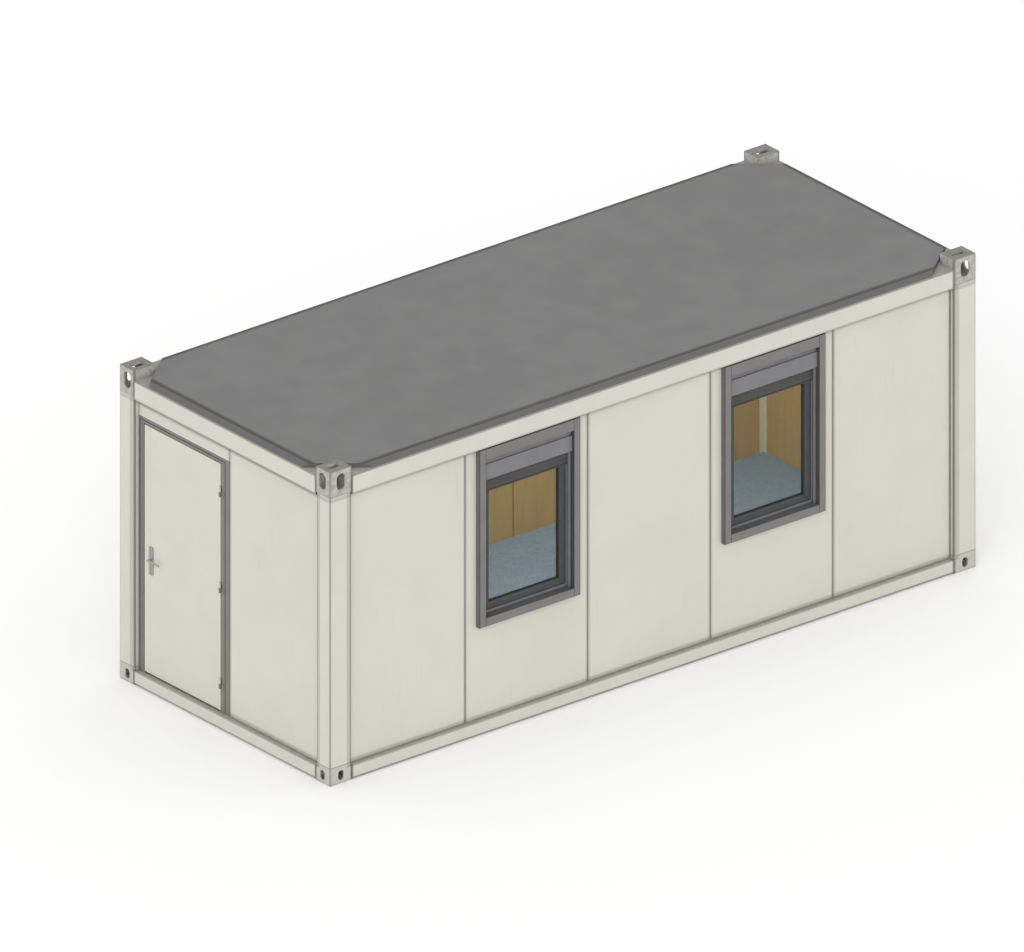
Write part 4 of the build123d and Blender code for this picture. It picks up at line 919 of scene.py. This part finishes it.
# the lock's faceplate and latch in the leaf's edge, and the strike plate in the jamb
middleX, leafEdge = (leafLow.x + leafHigh.x) / 2, leafHigh.y
wide, thick, tall = door["faceplate"]
faceplate = addBar((middleX - wide / 2, leafEdge + door["offFace"], spindleZ - 0.6 * tall),
                   (middleX + wide / 2, leafEdge + thick, spindleZ + 0.4 * tall))
bevelEdges(faceplate, lambda a, b: along(a, b, 1), door["faceplateRound"], 6)
wide, proud, tall = door["latch"]
latch = addBar((middleX - wide / 2, leafEdge + 0.5 * thick, spindleZ - tall / 2),
               (middleX + wide / 2, leafEdge + thick + proud, spindleZ + tall / 2))
bevelEdges(latch, lambda a, b: along(a, b, 2) and a.x > middleX and a.y > leafEdge + thick,
           door["latchRound"], 2)
finishPiece(joinPieces([faceplate, latch], "door_lock_faceplate"), "door", zincPlate)

wide, thick, tall = door["strike"]
jambY = leafEdge + door["leafGap"]
strike = addBar((middleX - wide / 2, jambY - thick, spindleZ - tall / 2),
                (middleX + wide / 2, jambY - door["offFace"], spindleZ + tall / 2))
bevelEdges(strike, lambda a, b: along(a, b, 1), door["strikeRound"], 4)
selectFaces(strike, lambda centre, normal: normal.y < -0.9)
bpy.ops.mesh.inset(thickness=door["strikeRim"])
bpy.ops.mesh.extrude_region_move(TRANSFORM_OT_translate={"value": (0, door["strikeSink"], 0)})
bpy.ops.object.mode_set(mode="OBJECT")
finishPiece(joinPieces([strike], "door_strike_plate"), "container", zincPlate)
print("scene: door trims")


# Camera: parallel projection, turned 39 degrees to the left of the window wall and 25 degrees down

camera = {"azimuth": -39.0, "elevation": 24.93, "viewWidth": 7.4636, "aim": (-1.397, -1.311, 2.056),
          "away": 15.0}
turn, drop = math.radians(camera["azimuth"]), math.radians(camera["elevation"])
sight = Vector((-math.sin(turn) * math.cos(drop), math.cos(turn) * math.cos(drop), -math.sin(drop)))
cameraData = bpy.data.cameras.new("camera")
cameraData.type = "ORTHO"
cameraData.ortho_scale = camera["viewWidth"]
cameraData.clip_end = 100
cameraObject = bpy.data.objects.new("camera", cameraData)
bpy.context.scene.collection.objects.link(cameraObject)
cameraObject.location = Vector(camera["aim"]) - sight * camera["away"]
cameraObject.rotation_euler = sight.to_track_quat("-Z", "Y").to_euler()
bpy.context.scene.camera = cameraObject

# Studio: an even white surround, one large soft lamp towards both visible walls, lamps in the room

studio = {"surround": 0.93, "sunStrength": 0.74, "sunTilt": 62, "sunTurn": -45, "sunAngle": 30, "roomWatts": 33,
          "lampAlong": 1.5, "lampBelow": 0.02, "lampSize": (2.6, 1.7), "floorSize": 80, "floorSeen": 0.98,
          "floorBounce": 0.80}
world = bpy.data.worlds.new("studio")
bpy.context.scene.world = world
world.use_nodes = True
worldTree = world.node_tree
path = addNode(worldTree, "ShaderNodeLightPath")
seen = addNode(worldTree, "ShaderNodeMath", {"operation": "MAXIMUM"},
               {0: path.outputs["Is Camera Ray"], 1: path.outputs["Is Transmission Ray"]})
seen = addNode(worldTree, "ShaderNodeMath", {"operation": "MAXIMUM"},
               {0: seen.outputs[0], 1: path.outputs["Is Glossy Ray"]})
strength = addNode(worldTree, "ShaderNodeMapRange", {"To Min": studio["surround"], "To Max": 1.0},
                   {"Value": seen.outputs[0]})
background = worldTree.nodes["Background"]
background.inputs["Color"].default_value = (1, 1, 1, 1)
worldTree.links.new(strength.outputs["Result"], background.inputs["Strength"])

deselectAll()
sunTilt, sunTurn = math.radians(studio["sunTilt"]), math.radians(studio["sunTurn"])
bpy.ops.object.light_add(type="SUN", rotation=(sunTilt, 0, sunTurn))
sun = bpy.context.object
sun.name = "softKey"
sun.data.energy = studio["sunStrength"]
sun.data.angle = math.radians(studio["sunAngle"])

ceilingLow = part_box("ceiling")[0].z
for x in (-studio["lampAlong"], studio["lampAlong"]):
    bpy.ops.object.light_add(type="AREA", location=(x, 0, ceilingLow - studio["lampBelow"]))
    lamp = bpy.context.object
    lamp.name = "roomLamp"
    lamp.data.shape = "RECTANGLE"
    lamp.data.size, lamp.data.size_y = studio["lampSize"]
    lamp.data.energy = studio["roomWatts"]
    lamp.visible_camera = False
    lamp.visible_glossy = False
    lamp.visible_transmission = False

# Floor: plain and white to the eye, a little darker for the light that it throws back

bpy.ops.mesh.primitive_plane_add(size=studio["floorSize"], location=(0, 0, 0))
floor = bpy.context.object
floor.name = "studioFloor"
floorMaterial, floorTree, floorShader = startMaterial("studioFloor", 0.9)[:3]
floorShader.inputs["Specular IOR Level"].default_value = 0.0
floorPath = addNode(floorTree, "ShaderNodeLightPath")
floorLevel = addNode(floorTree, "ShaderNodeMapRange",
                     {"To Min": studio["floorBounce"], "To Max": studio["floorSeen"]},
                     {"Value": floorPath.outputs["Is Camera Ray"]})
floorTree.links.new(floorLevel.outputs["Result"], floorShader.inputs["Base Color"])
floor.data.materials.append(floorMaterial)

bpy.context.scene.view_settings.view_transform = "Standard"
print("scene: camera, lamps and floor")
